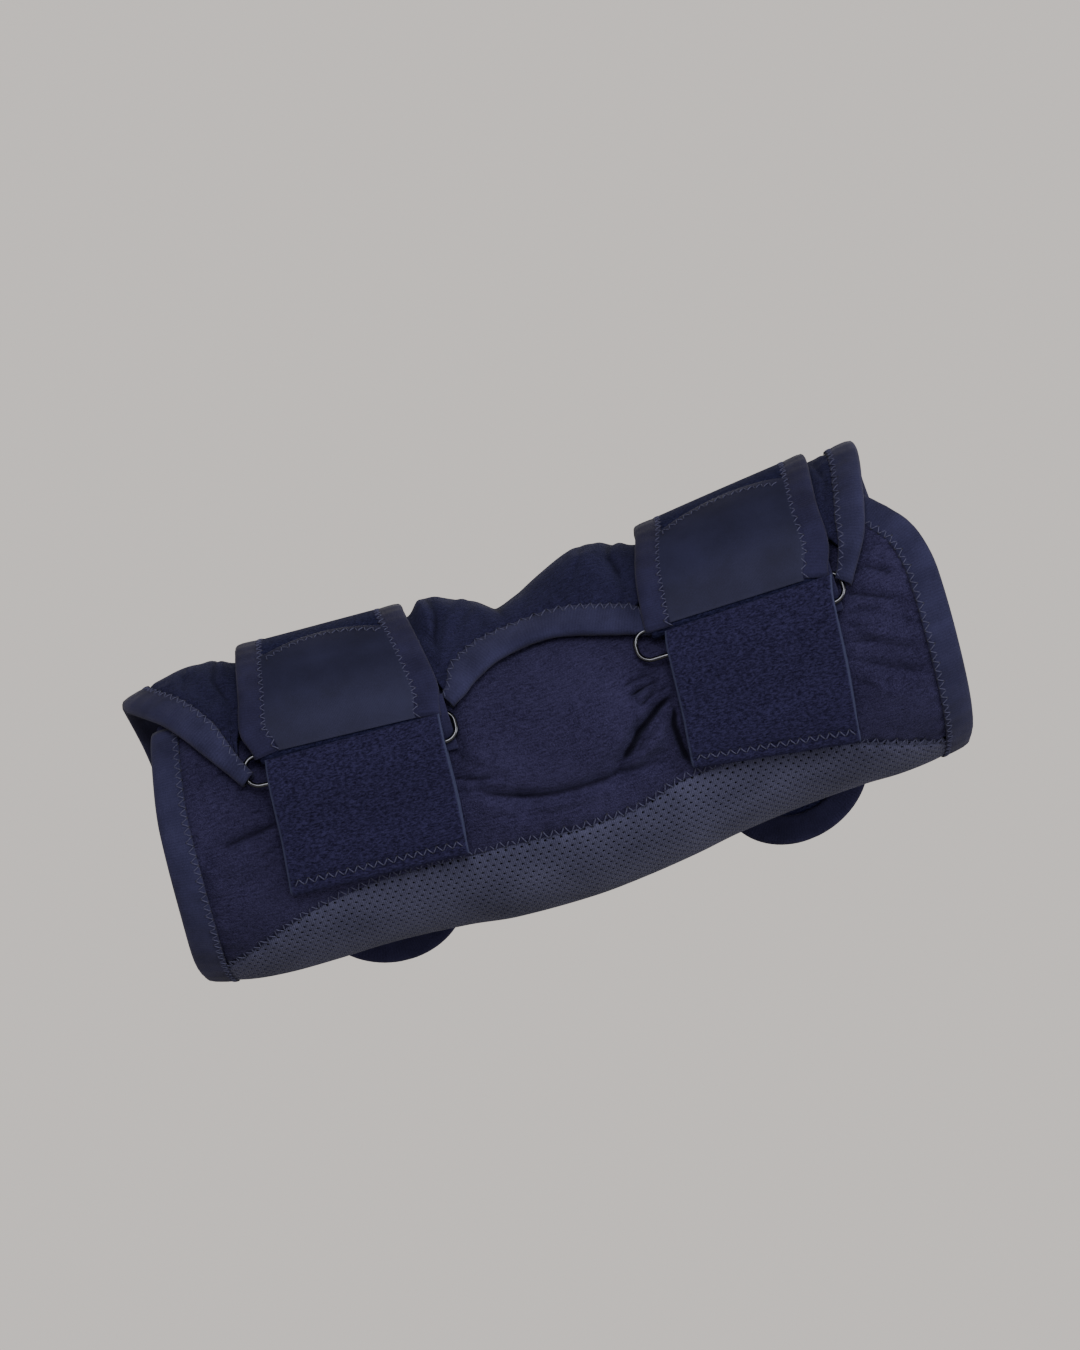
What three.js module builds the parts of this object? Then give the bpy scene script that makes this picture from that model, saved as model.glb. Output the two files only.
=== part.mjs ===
// Elbow brace: a padded cloth wrap with a perforated panel under the elbow, two bands that run over
// the crook, two wire rings and two napped tabs that close it on the near side.
//
// Frame, in mm: +X along the arm towards the upper arm, +Z towards the crook, -Y the near side. The
// origin is on the arm's axis, half way along. A place on the cloth is (x, angle, height): the angle
// in degrees is 0 at the near side, 90 at the crook, 180 at the far side and -90 under the elbow, and
// the height is measured outwards from the arm.
import * as THREE from 'three';

// Overall sizes
const braceLength = 244;
const armHeight = 84;
const armWidth = 82;

// Cloth, tape and wire
const panelThickness = 2.4;
const tapeThickness = 0.6;
const bindingWidth = 7.6;
const strapThickness = 1.6;
const strapTapeWidth = 7;
const patchThickness = 0.6;
const tabThickness = 1.8;
const wireRadius = 0.9;
const gap = 0.48;
const rimGap = 1.1;

// Closure
const ringLength = 64.8;
const ringHeight = 10.6;
const ringCorner = 4.6;
const strapTail = 4.5;
const tabTail = 4;
const strapEndRadius = 21;
const foldReach = 1;

// Fineness of the meshes
const panelColumns = 36;
const strapColumns = 3;

// The arm inside the brace: shares of the brace's length, the arm's height and the arm's width
const sections = [
  { along: -0.52, crook: 0.415, elbow: -0.450, side: 0.450 },
  { along: -0.46, crook: 0.463, elbow: -0.505, side: 0.482 },
  { along: -0.41, crook: 0.483, elbow: -0.525, side: 0.500 },
  { along: -0.35, crook: 0.444, elbow: -0.530, side: 0.490 },
  { along: -0.27, crook: 0.422, elbow: -0.530, side: 0.474 },
  { along: -0.18, crook: 0.408, elbow: -0.550, side: 0.484 },
  { along: -0.12, crook: 0.434, elbow: -0.574, side: 0.508 },
  { along: -0.02, crook: 0.406, elbow: -0.582, side: 0.520 },
  { along: 0.05, crook: 0.420, elbow: -0.568, side: 0.520 },
  { along: 0.115, crook: 0.440, elbow: -0.545, side: 0.506 },
  { along: 0.17, crook: 0.434, elbow: -0.519, side: 0.482 },
  { along: 0.255, crook: 0.464, elbow: -0.494, side: 0.476 },
  { along: 0.335, crook: 0.495, elbow: -0.483, side: 0.486 },
  { along: 0.385, crook: 0.537, elbow: -0.484, side: 0.514 },
  { along: 0.435, crook: 0.560, elbow: -0.469, side: 0.518 },
  { along: 0.51, crook: 0.548, elbow: -0.418, side: 0.500 },
];

// Seam between the padded panels and the panel under the elbow, on the near side
const seam = [
  { along: -0.51, angle: -80 }, { along: -0.477, angle: -63 }, { along: -0.41, angle: -47 },
  { along: -0.33, angle: -36 }, { along: -0.15, angle: -30.5 }, { along: 0, angle: -31.5 },
  { along: 0.06, angle: -32.5 }, { along: 0.13, angle: -28.7 }, { along: 0.258, angle: -35 },
  { along: 0.34, angle: -45 }, { along: 0.424, angle: -61 }, { along: 0.485, angle: -80 },
];

// Ends of the near panel: how far along they lie at each angle
const nearEnds = [
  { angle: -82, forearm: -0.501, upperArm: 0.468 }, { angle: -62, forearm: -0.505, upperArm: 0.476 },
  { angle: -30, forearm: -0.501, upperArm: 0.481 }, { angle: 7, forearm: -0.495, upperArm: 0.483 },
  { angle: 18, forearm: -0.491, upperArm: 0.479 }, { angle: 28, forearm: -0.486, upperArm: 0.469 },
  { angle: 38, forearm: -0.481, upperArm: 0.447 }, { angle: 49, forearm: -0.475, upperArm: 0.420 },
  { angle: 58, forearm: -0.462, upperArm: 0.400 },
];
const nearTop = 58;

// Ends of the far panel, from the rings over the crook and down the hidden side
const farEnds = [
  { angle: 16, forearm: -0.386, upperArm: 0.382 }, { angle: 28, forearm: -0.416, upperArm: 0.410 },
  { angle: 39, forearm: -0.438, upperArm: 0.422 }, { angle: 48, forearm: -0.456, upperArm: 0.428 },
  { angle: 60, forearm: -0.481, upperArm: 0.4345 }, { angle: 72, forearm: -0.497, upperArm: 0.4375 },
  { angle: 95, forearm: -0.503, upperArm: 0.4375 }, { angle: 140, forearm: -0.497, upperArm: 0.446 },
  { angle: 180, forearm: -0.494, upperArm: 0.466 }, { angle: 242, forearm: -0.497, upperArm: 0.474 },
  { angle: 262, forearm: -0.501, upperArm: 0.468 },
];

// Edge of the far panel on the near side: a tongue at each ring and an arch between them
const scallop = [
  { along: -0.386, angle: 16 }, { along: -0.383, angle: 25 }, { along: -0.376, angle: 33 },
  { along: -0.355, angle: 36.5 }, { along: -0.16, angle: 36.5 }, { along: -0.13, angle: 35 },
  { along: -0.117, angle: 26 }, { along: -0.084, angle: 32.5 }, { along: -0.052, angle: 39 },
  { along: -0.012, angle: 42.5 }, { along: 0.02, angle: 42 }, { along: 0.052, angle: 38.5 },
  { along: 0.084, angle: 34 }, { along: 0.112, angle: 31.5 }, { along: 0.127, angle: 38 },
  { along: 0.15, angle: 41 }, { along: 0.345, angle: 36.5 }, { along: 0.372, angle: 33 },
  { along: 0.386, angle: 26 }, { along: 0.393, angle: 20 },
];

// Folds of the cloth: a ridge has a depth above zero, a valley one below it. Depth and width are
// shares of the arm's height, and each fold runs straight from its first place to its last.
const folds = [
  { from: [-0.115, 68], to: [-0.12, 128], depth: 0.038, width: 0.10 },
  { from: [-0.025, 76], to: [-0.03, 122], depth: -0.042, width: 0.090 },
  { from: [0.075, 70], to: [0.08, 126], depth: 0.056, width: 0.145 },
  { from: [-0.07, 8], to: [0.04, 6], depth: 0.030, width: 0.20 },
  { from: [-0.13, -5], to: [-0.07, -15], depth: -0.022, width: 0.04 },
  { from: [-0.07, -15], to: [0.05, -17.5], depth: -0.024, width: 0.045 },
  { from: [0.05, -17.5], to: [0.1, -18.5], depth: -0.020, width: 0.04 },
  { from: [0.13, 4], to: [0.085, -5], depth: -0.034, width: 0.032 },
  { from: [0.085, -5], to: [0.055, -12], depth: -0.026, width: 0.030 },
  { from: [0.128, 2], to: [0.13, -26], depth: -0.030, width: 0.035 },
  { from: [-0.37, -2], to: [-0.45, -7], depth: -0.020, width: 0.040 },
  { from: [0.42, 14], to: [0.455, 7], depth: -0.016, width: 0.035 },
  { from: [0.38, 13], to: [0.435, 1], depth: -0.018, width: 0.035 },
  { from: [0.37, -11], to: [0.42, -22], depth: -0.020, width: 0.045 },
];

// Each closure: the ring's lower wire at its two ends, the edges of the band by angle, the corners
// of the tab, where the smooth patch ends on the band, and how far the band's end hangs down, as a
// share of the arm's height
const closures = [
  {
    name: 'forearm',
    ring: { along: [-0.382, -0.12], lower: [12.6, 11.6] },
    strap: [
      { angle: 0, left: -0.3585, right: -0.1405 }, { angle: 22, left: -0.3585, right: -0.1405 },
      { angle: 30, left: -0.367, right: -0.134 },
      { angle: 44, left: -0.358, right: -0.139 }, { angle: 70, left: -0.349, right: -0.149 },
      { angle: 100, left: -0.347, right: -0.152 }, { angle: 180, left: -0.362, right: -0.176 },
      { angle: 300, left: -0.362, right: -0.176 },
    ],
    tab: { top: [-0.353, -0.136, 19.5, 20.5], bottom: [-0.371, -0.150, -26, -26.4] },
    patchTop: 70,
    drop: 0.605,
  },
  {
    name: 'upper_arm',
    ring: { along: [0.1155, 0.3715], lower: [16.8, 9.6] },
    strap: [
      { angle: 0, left: 0.1365, right: 0.3545 }, { angle: 22, left: 0.1365, right: 0.3545 },
      { angle: 30, left: 0.138, right: 0.366 },
      { angle: 44, left: 0.143, right: 0.367 }, { angle: 70, left: 0.160, right: 0.374 },
      { angle: 100, left: 0.161, right: 0.374 }, { angle: 180, left: 0.169, right: 0.356 },
      { angle: 300, left: 0.169, right: 0.356 },
    ],
    tab: { top: [0.152, 0.364, 23.7, 18], bottom: [0.137, 0.342, -23, -39] },
    patchTop: 72,
    drop: 0.65,
  },
];

// Heights of the layers above the arm
const nearInner = 2 * gap + tapeThickness;
const nearOuter = nearInner + panelThickness;
const overlapLift = panelThickness + 2 * (tapeThickness + gap) + gap;
const strapHeight = 2 * gap + tapeThickness + strapThickness / 2;
const ringSeat = nearOuter + gap + tabThickness + gap + wireRadius;

const radians = (degrees) => degrees * Math.PI / 180;
const mix = (a, b, t) => a + (b - a) * t;
const smooth = (a, b, x) => {
  const t = Math.min(1, Math.max(0, (x - a) / (b - a)));
  return t * t * (3 - 2 * t);
};

// Value of one column of a table at x, on a smooth curve through its rows
function read(table, key, column, x) {
  const last = table.length - 1;
  const row = table.findIndex((r) => r[key] > x);
  const i = row < 0 ? last - 1 : Math.max(0, row - 1);
  const slope = (k) => {
    const a = table[Math.max(0, k - 1)];
    const b = table[Math.min(last, k + 1)];
    return (b[column] - a[column]) / (b[key] - a[key]);
  };
  const p = table[i];
  const q = table[i + 1];
  const h = q[key] - p[key];
  const t = Math.min(1, Math.max(0, (x - p[key]) / h));
  const t2 = t * t;
  const t3 = t2 * t;
  return (2 * t3 - 3 * t2 + 1) * p[column] + (t3 - 2 * t2 + t) * h * slope(i)
    + (3 * t2 - 2 * t3) * q[column] + (t3 - t2) * h * slope(i + 1);
}

// How far the bands press the cloth flat at a place, from 0 beside them to 1 under them
function pressed(x, angle) {
  let most = 0;
  for (const closure of closures) {
    const turn = angle < -100 ? angle + 360 : angle;
    const left = read(closure.strap, 'angle', 'left', Math.max(0, turn)) * braceLength;
    const right = read(closure.strap, 'angle', 'right', Math.max(0, turn)) * braceLength;
    const across = smooth(left - 7, left - 2, x) * (1 - smooth(right + 2, right + 7, x));
    const down = smooth(-44, -36, turn) * (1 - smooth(215, 235, turn));
    most = Math.max(most, across * down);
  }
  return most;
}

// Height that the folds add to the cloth at a place
function relief(x, angle) {
  const mmPerDegree = radians(1) * armHeight / 2;
  let height = 0;
  for (const fold of folds) {
    const ax = fold.from[0] * braceLength;
    const ay = fold.from[1] * mmPerDegree;
    const bx = fold.to[0] * braceLength - ax;
    const by = fold.to[1] * mmPerDegree - ay;
    const px = x - ax;
    const py = angle * mmPerDegree - ay;
    const t = Math.min(1, Math.max(0, (px * bx + py * by) / (bx * bx + by * by)));
    const away = Math.hypot(px - t * bx, py - t * by) / (fold.width * armHeight);
    height += fold.depth * armHeight * Math.exp(-away * away);
  }
  return height * (1 - pressed(x, angle));
}

// Point at a height above the bare arm
function onArm(x, angle, height) {
  const along = x / braceLength;
  const crook = read(sections, 'along', 'crook', along) * armHeight;
  const elbow = read(sections, 'along', 'elbow', along) * armHeight;
  const side = read(sections, 'along', 'side', along) * armWidth;
  const a = radians(angle);
  return new THREE.Vector3(
    x,
    -(side + height) * Math.cos(a),
    (crook + elbow) / 2 + ((crook - elbow) / 2 + height) * Math.sin(a),
  );
}

const onCloth = (x, angle, height) => onArm(x, angle, height + relief(x, angle));

// The far panel lies on the near panel up to the crook, and beyond it sinks to the arm
const farLift = (angle) => overlapLift * (1 - smooth(nearTop + 6, 128, angle));
const onFarCloth = (x, angle, height) => onCloth(x, angle, height + farLift(angle));

function mesh(name, positions, indices, color, roughness, metalness = 0) {
  const geometry = new THREE.BufferGeometry();
  geometry.setAttribute('position', new THREE.Float32BufferAttribute(positions, 3));
  geometry.setIndex(indices);
  geometry.computeVertexNormals();
  const body = new THREE.Mesh(geometry, new THREE.MeshStandardMaterial({ color, roughness, metalness }));
  body.name = name;
  return body;
}

// Closed wall over a grid: face(i, j, side) is the point on the inner (0) or outer (1) face
function wall(columns, rows, face) {
  const positions = [];
  const indices = [];
  const at = (i, j, side) => (side * (columns + 1) + i) * (rows + 1) + j;
  for (let side = 0; side < 2; side += 1) {
    for (let i = 0; i <= columns; i += 1) {
      for (let j = 0; j <= rows; j += 1) positions.push(...face(i, j, side).toArray());
    }
  }
  const apart = (a, b) => Math.hypot(...[0, 1, 2].map((k) => positions[3 * a + k] - positions[3 * b + k]));
  const quad = (a, b, c, d) => {
    if (apart(a, c) <= apart(b, d)) indices.push(a, b, c, a, c, d);
    else indices.push(a, b, d, b, c, d);
  };
  for (let i = 0; i < columns; i += 1) {
    for (let j = 0; j < rows; j += 1) {
      quad(at(i, j, 1), at(i + 1, j, 1), at(i + 1, j + 1, 1), at(i, j + 1, 1));
      quad(at(i, j, 0), at(i, j + 1, 0), at(i + 1, j + 1, 0), at(i + 1, j, 0));
    }
    quad(at(i, 0, 0), at(i + 1, 0, 0), at(i + 1, 0, 1), at(i, 0, 1));
    quad(at(i, rows, 1), at(i + 1, rows, 1), at(i + 1, rows, 0), at(i, rows, 0));
  }
  for (let j = 0; j < rows; j += 1) {
    quad(at(0, j, 1), at(0, j + 1, 1), at(0, j + 1, 0), at(0, j, 0));
    quad(at(columns, j, 0), at(columns, j + 1, 0), at(columns, j + 1, 1), at(columns, j, 1));
  }
  return { positions, indices };
}

// Solid with the same section at each station of a path, closed by a cap at each end
function sweep(stations, sides, point, closed = false) {
  const positions = [];
  const indices = [];
  for (let i = 0; i < stations; i += 1) {
    for (let j = 0; j < sides; j += 1) positions.push(...point(i, j).toArray());
  }
  const spans = closed ? stations : stations - 1;
  for (let i = 0; i < spans; i += 1) {
    const next = ((i + 1) % stations) * sides;
    for (let j = 0; j < sides; j += 1) {
      const k = (j + 1) % sides;
      indices.push(i * sides + j, i * sides + k, next + k, i * sides + j, next + k, next + j);
    }
  }
  return { positions, indices };
}

// Folded tape round an edge: eight corners as (how far in from the edge, height), outer leaf first
function tapeCorners(width, inner, outer) {
  const rim = -rimGap - tapeThickness;
  return [
    [width, outer + gap], [width, outer + gap + tapeThickness], [rim, outer + gap + tapeThickness],
    [rim, inner - gap - tapeThickness], [width, inner - gap - tapeThickness], [width, inner - gap],
    [-rimGap, inner - gap], [-rimGap, outer + gap],
  ];
}

// Tape along an edge given as [across, along] places in mm, with its inside on the left hand
function tape(edge, widthAt, inner, outer, place) {
  const stations = edge.length;
  const section = (i, j) => {
    const before = edge[Math.max(0, i - 1)];
    const after = edge[Math.min(stations - 1, i + 1)];
    const run = Math.hypot(after[0] - before[0], after[1] - before[1]);
    const inX = -(after[1] - before[1]) / run;
    const inY = (after[0] - before[0]) / run;
    const [depth, height] = tapeCorners(widthAt(i / (stations - 1)), inner, outer)[j];
    return place(edge[i][0] + inX * depth, edge[i][1] + inY * depth, height);
  };
  const solid = sweep(stations, 8, section);
  const end = (stations - 1) * 8;
  const cap = [[0, 1, 2], [0, 2, 7], [2, 6, 7], [2, 3, 6], [3, 5, 6], [3, 4, 5]];
  for (const [a, b, c] of cap) {
    solid.indices.push(a, c, b, end + a, end + b, end + c);
  }
  return solid;
}

// Places spaced evenly along a polyline
function evenly(points, count) {
  const lengths = [0];
  for (let i = 1; i < points.length; i += 1) {
    const step = Math.hypot(points[i][0] - points[i - 1][0], points[i][1] - points[i - 1][1]);
    lengths.push(lengths[i - 1] + step);
  }
  const total = lengths[lengths.length - 1];
  return Array.from({ length: count + 1 }, (_, k) => {
    const want = total * k / count;
    const next = lengths.findIndex((length) => length >= want - 1e-9);
    const i = Math.max(1, next);
    const t = (want - lengths[i - 1]) / (lengths[i] - lengths[i - 1]);
    return [mix(points[i - 1][0], points[i][0], t), mix(points[i - 1][1], points[i][1], t)];
  });
}

const seamAngle = (x) => read(seam, 'along', 'angle', x / braceLength);
const endOf = (table, column, angle) => read(table, 'angle', column, angle) * braceLength;

// The far panel keeps clear of the rings: its edges hold their places beside the rings' ends, and
// stretch between them. Each row pairs a share of the brace's length with a place in mm.
const besideRings = [
  { along: -0.6, x: -0.6 * braceLength },
  ...closures.flatMap(({ ring: { along } }) => [0, 1].map((end) => ({
    along: along[end],
    x: (along[0] + along[1]) / 2 * braceLength + (end - 0.5) * ringLength,
  }))),
  { along: 0.6, x: 0.6 * braceLength },
];
function lookUp(rows, from, to, value) {
  const i = Math.max(1, rows.findIndex((row) => row[from] >= value));
  const [p, q] = [rows[i - 1], rows[i]];
  return mix(p[to], q[to], (value - p[from]) / (q[from] - p[from]));
}
const scallopAngle = (x) => read(scallop, 'along', 'angle', lookUp(besideRings, 'x', 'along', x));
const farEnd = (column, angle) => (
  lookUp(besideRings, 'along', 'x', read(farEnds, 'angle', column, angle))
);

// Seam gap as an angle
const seamGap = gap / (radians(1) * armHeight / 2);

// Place in a panel whose ends depend on the angle and whose edges depend on how far along it lies:
// small steps bring the two into agreement
function settle(endAt, across, firstAngle, angleAt) {
  const steps = 30;
  let angle = firstAngle;
  let x = 0;
  for (let step = 0; step < steps; step += 1) {
    x = mix(endAt('forearm', angle), endAt('upperArm', angle), across);
    angle = mix(angle, angleAt(x), 0.3);
  }
  return { x, angle };
}

// Panels: columns run along the arm, rows run round it

function nearPanel() {
  const rows = 12;
  const nearEnd = (column, angle) => endOf(nearEnds, column, angle);
  const place = (i, j, side) => {
    const share = j / rows;
    const { x, angle } = settle(nearEnd, i / panelColumns, mix(-45, nearTop, share), (along) => (
      mix(seamAngle(along) + seamGap, nearTop, share)
    ));
    return onCloth(x, angle, side ? nearOuter : nearInner);
  };
  const solid = wall(panelColumns, rows, place);
  return mesh('near_panel', solid.positions, solid.indices, 0x22254a, 0.95);
}

function farPanel() {
  const rows = 18;
  const place = (i, j, side) => {
    const share = j / rows;
    const { x, angle } = settle(farEnd, i / panelColumns, mix(40, 215, share), (along) => (
      mix(scallopAngle(along), 180 - seamAngle(along) - seamGap, share)
    ));
    return onFarCloth(x, angle, side ? nearOuter : nearInner);
  };
  const solid = wall(panelColumns, rows, place);
  return mesh('far_panel', solid.positions, solid.indices, 0x1c1e3c, 0.95);
}

function meshPanel() {
  const rows = 5;
  const place = (i, j, side) => {
    const x = mix(endOf(nearEnds, 'forearm', -82), endOf(nearEnds, 'upperArm', -82), i / panelColumns);
    const angle = mix(-180 - seamAngle(x) + seamGap, seamAngle(x) - seamGap, j / rows);
    return onCloth(x, angle, side ? nearOuter : nearInner);
  };
  const solid = wall(panelColumns, rows, place);
  return mesh('mesh_panel', solid.positions, solid.indices, 0x33364a, 0.85);
}

// Bindings: places are [x, millimetres round the arm]
const mmPerDegree = radians(1) * (armHeight / 2 + nearOuter);
const round = (place) => (x, arc, height) => place(x, arc / mmPerDegree, height);

// One tape follows a whole end: up the near edge from below, or down the far edge to the ring
function endBinding(name, column, side) {
  const reach = nearTop - 8;
  const edge = [];
  for (let angle = reach; angle > -82; angle -= 6) {
    edge.push([endOf(nearEnds, column, angle), angle]);
  }
  for (let angle = 262; angle > 92; angle -= 10) {
    edge.push([farEnd(column, angle), angle - 360]);
  }
  for (let angle = 92; angle > 19; angle -= 4) {
    edge.push([farEnd(column, angle), angle - 360]);
  }
  const scaled = edge.map(([x, angle]) => [x, angle * mmPerDegree]);
  const path = evenly(scaled, 52);
  if (side > 0) path.reverse();
  const width = (t) => {
    const fromRing = side > 0 ? t : 1 - t;
    return bindingWidth * mix(0.5, 1, smooth(0, 0.06, fromRing));
  };
  const place = (x, arc, height) => {
    const angle = arc / mmPerDegree;
    const turned = angle < -98 ? angle + 360 : angle;
    return turned > 98 || angle < -98 ? onFarCloth(x, turned, height) : onCloth(x, angle, height);
  };
  const solid = tape(path, width, nearInner, nearOuter, place);
  return mesh(name, solid.positions, solid.indices, 0x2a2c3e, 0.8);
}

function crookBinding() {
  const edge = [];
  for (let along = 0.108; along > -0.116; along -= 0.01) {
    const x = lookUp(besideRings, 'along', 'x', along);
    edge.push([x, scallopAngle(x) * mmPerDegree]);
  }
  const path = evenly(edge, 18).reverse();
  const width = (t) => bindingWidth * mix(0.45, 1, smooth(0, 0.15, Math.min(t, 1 - t)));
  const solid = tape(path, width, nearInner, nearOuter, round(onFarCloth));
  return mesh('crook_binding', solid.positions, solid.indices, 0x2a2c3e, 0.8);
}

// Frame of a ring: its middle, its long direction, the way up the arm's side and the way out
function ringFrame({ along, lower }) {
  const half = ringHeight / 2 - wireRadius;
  const halfAngle = half / mmPerDegree;
  const left = onArm(along[0] * braceLength, lower[0] + halfAngle, ringSeat);
  const right = onArm(along[1] * braceLength, lower[1] + halfAngle, ringSeat);
  const middle = left.clone().add(right).multiplyScalar(0.5);
  const long = right.clone().sub(left).normalize();
  const angle = (lower[0] + lower[1]) / 2 + halfAngle;
  const below = onArm(middle.x, angle - 2, ringSeat);
  const out = long.clone().cross(onArm(middle.x, angle + 2, ringSeat).sub(below)).normalize();
  const up = out.clone().cross(long).normalize();
  return { middle, long, out, up, half };
}

// Point beside the ring's upper (1) or lower (-1) wire at x, a given way up and out from it
function besideWire(frame, wire, x, up, out) {
  const start = frame.middle.clone().addScaledVector(frame.up, wire * frame.half);
  return start.addScaledVector(frame.long, (x - start.x) / frame.long.x)
    .addScaledVector(frame.up, up).addScaledVector(frame.out, out);
}

// Wire with straight sides and round corners
function ring(closure) {
  const frame = ringFrame(closure.ring);
  const bend = 3;
  const round = ringCorner - wireRadius;
  const cornerX = ringLength / 2 - ringCorner;
  const cornerY = ringHeight / 2 - ringCorner;
  const point = (i, j) => {
    const corner = Math.floor(i / (bend + 1));
    const turn = (corner + (i % (bend + 1)) / bend) * Math.PI / 2;
    const a = 2 * Math.PI * j / 6;
    const radius = round + wireRadius * Math.cos(a);
    const right = corner === 0 || corner === 3;
    const upper = corner < 2;
    return frame.middle.clone()
      .addScaledVector(frame.long, (right ? cornerX : -cornerX) + radius * Math.cos(turn))
      .addScaledVector(frame.up, (upper ? cornerY : -cornerY) + radius * Math.sin(turn))
      .addScaledVector(frame.out, -wireRadius * Math.sin(a));
  };
  const solid = sweep(4 * (bend + 1), 6, point, true);
  return mesh(`${closure.name}_ring`, solid.positions, solid.indices, 0xc8ccd2, 0.2, 1);
}

// A ribbon's route: a smooth curve through its points, drawn straight across between the places
// left and right. The result places a point at (x, mm along the route, height).
function ribbon(pointsAt, left, right) {
  const atLeft = pointsAt(left);
  const atRight = pointsAt(right);
  const pointsAcross = (x) => atLeft.map((p, k) => p.clone().lerp(atRight[k], (x - left) / (right - left)));
  const middle = pointsAcross((left + right) / 2);
  const knots = [0];
  for (let k = 1; k < middle.length; k += 1) knots.push(knots[k - 1] + middle[k].distanceTo(middle[k - 1]));
  const length = knots[knots.length - 1];
  const centre = (x, s) => {
    const rows = pointsAcross(x).map((p, k) => ({ s: knots[k], y: p.y, z: p.z }));
    return new THREE.Vector3(x, read(rows, 's', 'y', s), read(rows, 's', 'z', s));
  };
  const place = (x, s, height) => {
    const inside = Math.min(length, Math.max(0, s));
    const step = 0.2;
    const before = centre(x, Math.max(0, inside - step));
    const run = centre(x, Math.min(length, inside + step)).sub(before).normalize();
    const out = new THREE.Vector3(1, 0, 0).cross(run).normalize();
    return centre(x, inside).addScaledVector(run, s - inside).addScaledVector(out, height);
  };
  return { place, length, knots };
}

// Half a turn about a wire, from its near side to its far side, as [up, out] pairs
function halfTurn(radius, from, to, steps) {
  return Array.from({ length: steps + 1 }, (_, k) => {
    const a = radians(mix(from, to, k / steps));
    return [radius * Math.sin(a), radius * Math.cos(a)];
  });
}

// Band: its tail lies behind the ring's upper wire, it turns round the wire, runs over the crook
// and hangs free below the widest place of the hidden side
function strapRoute(closure) {
  const frame = ringFrame(closure.ring);
  const radius = wireRadius + gap + strapThickness / 2;
  const loop = halfTurn(radius, 180, 360, 6);
  const climb = [];
  for (let angle = 38; angle <= 176; angle += 11.5) climb.push(angle);
  const angles = [30, ...loop.map(() => 22), ...climb, 190, 200, 210, 220];
  const pointsAt = (x) => {
    const points = [besideWire(frame, 1, x, strapTail, -radius)];
    for (const [up, out] of loop) points.push(besideWire(frame, 1, x, up, out));
    for (const angle of climb) points.push(onArm(x, angle, nearOuter + farLift(angle) + strapHeight));
    const last = onArm(x, 180, nearOuter + strapHeight);
    for (const share of [0.1, 0.4, 0.7, 1]) {
      points.push(new THREE.Vector3(x, last.y, last.z - closure.drop * armHeight * share));
    }
    return points;
  };
  const [left, right] = closure.ring.along.map((along) => along * braceLength);
  const route = ribbon(pointsAt, left, right);
  const rows = route.knots.map((s, k) => ({ s, angle: angles[k] }));
  const edgeAt = (s, column) => {
    const angle = read(rows, 's', 'angle', Math.min(s, route.length));
    const bare = read(closure.strap, 'angle', column, angle) * braceLength;
    const centre = (read(closure.strap, 'angle', 'left', angle)
      + read(closure.strap, 'angle', 'right', angle)) / 2 * braceLength;
    const into = Math.max(0, s - (route.length - strapEndRadius)) / strapEndRadius;
    return mix(centre, bare, Math.sqrt(Math.max(0, 1 - into ** 2.2)));
  };
  return { ...route, edgeAt, angleAt: (s) => read(rows, 's', 'angle', s) };
}

// Stations along a band: close together round the wire and at the round end
function strapStations(route) {
  const stations = route.knots.slice(0, 9);
  const start = stations[8];
  const finish = route.length - strapEndRadius;
  stations.splice(8, 0, mix(stations[7], start, 0.5));
  for (let k = 1; k <= 15; k += 1) stations.push(mix(start, finish, k / 15));
  for (let k = 1; k <= 6; k += 1) {
    stations.push(finish + strapEndRadius * Math.sin(radians(80) * k / 6));
  }
  return stations;
}

function strap(closure, route) {
  const stations = strapStations(route);
  const face = (i, j, side) => {
    const s = stations[j];
    const x = mix(route.edgeAt(s, 'left'), route.edgeAt(s, 'right'), i / strapColumns);
    return route.place(x, s, (side ? 0.5 : -0.5) * strapThickness);
  };
  const solid = wall(strapColumns, stations.length - 1, face);
  return mesh(`${closure.name}_strap`, solid.positions, solid.indices, 0x1b1d38, 0.9);
}

// Tape along one edge of the band, round its free end and back along the other edge
function strapTape(closure, route) {
  const start = route.knots[8] + 1;
  const finish = route.length - strapEndRadius;
  const side = (column) => {
    const places = [];
    for (let k = 0; k <= 14; k += 1) {
      const s = mix(start, finish, k / 14);
      places.push([route.edgeAt(s, column), s]);
    }
    for (let k = 1; k <= 5; k += 1) {
      const s = finish + strapEndRadius * Math.sin(radians(80) * k / 5);
      places.push([route.edgeAt(s, column), s]);
    }
    return places;
  };
  const edge = [...side('left'), ...side('right').reverse()].reverse();
  const width = (t) => strapTapeWidth * mix(0.6, 1, smooth(0, 0.06, Math.min(t, 1 - t)));
  const half = strapThickness / 2;
  const solid = tape(evenly(edge, 46), width, -half, half, route.place);
  return mesh(`${closure.name}_strap_tape`, solid.positions, solid.indices, 0x25283a, 0.8);
}

// Smooth patch on the near end of the band, between its tapes, with a round top
function strapPatch(closure, route) {
  const columns = 6;
  const rows = 6;
  const start = route.knots[7] + 1;
  const stop = route.knots[8] + (closure.patchTop - 38) * mmPerDegree;
  const inset = strapTapeWidth + gap;
  const face = (i, j, side) => {
    const across = mix(-1, 1, i / columns);
    const top = stop - 7 * across * across;
    const s = mix(start, top, j / rows);
    const left = route.edgeAt(s, 'left') + inset;
    const right = route.edgeAt(s, 'right') - inset;
    const height = strapThickness / 2 + gap + (side ? patchThickness : 0);
    return route.place(mix(left, right, i / columns), s, height);
  };
  const solid = wall(columns, rows, face);
  return mesh(`${closure.name}_strap_patch`, solid.positions, solid.indices, 0x262a48, 0.7);
}

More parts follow.
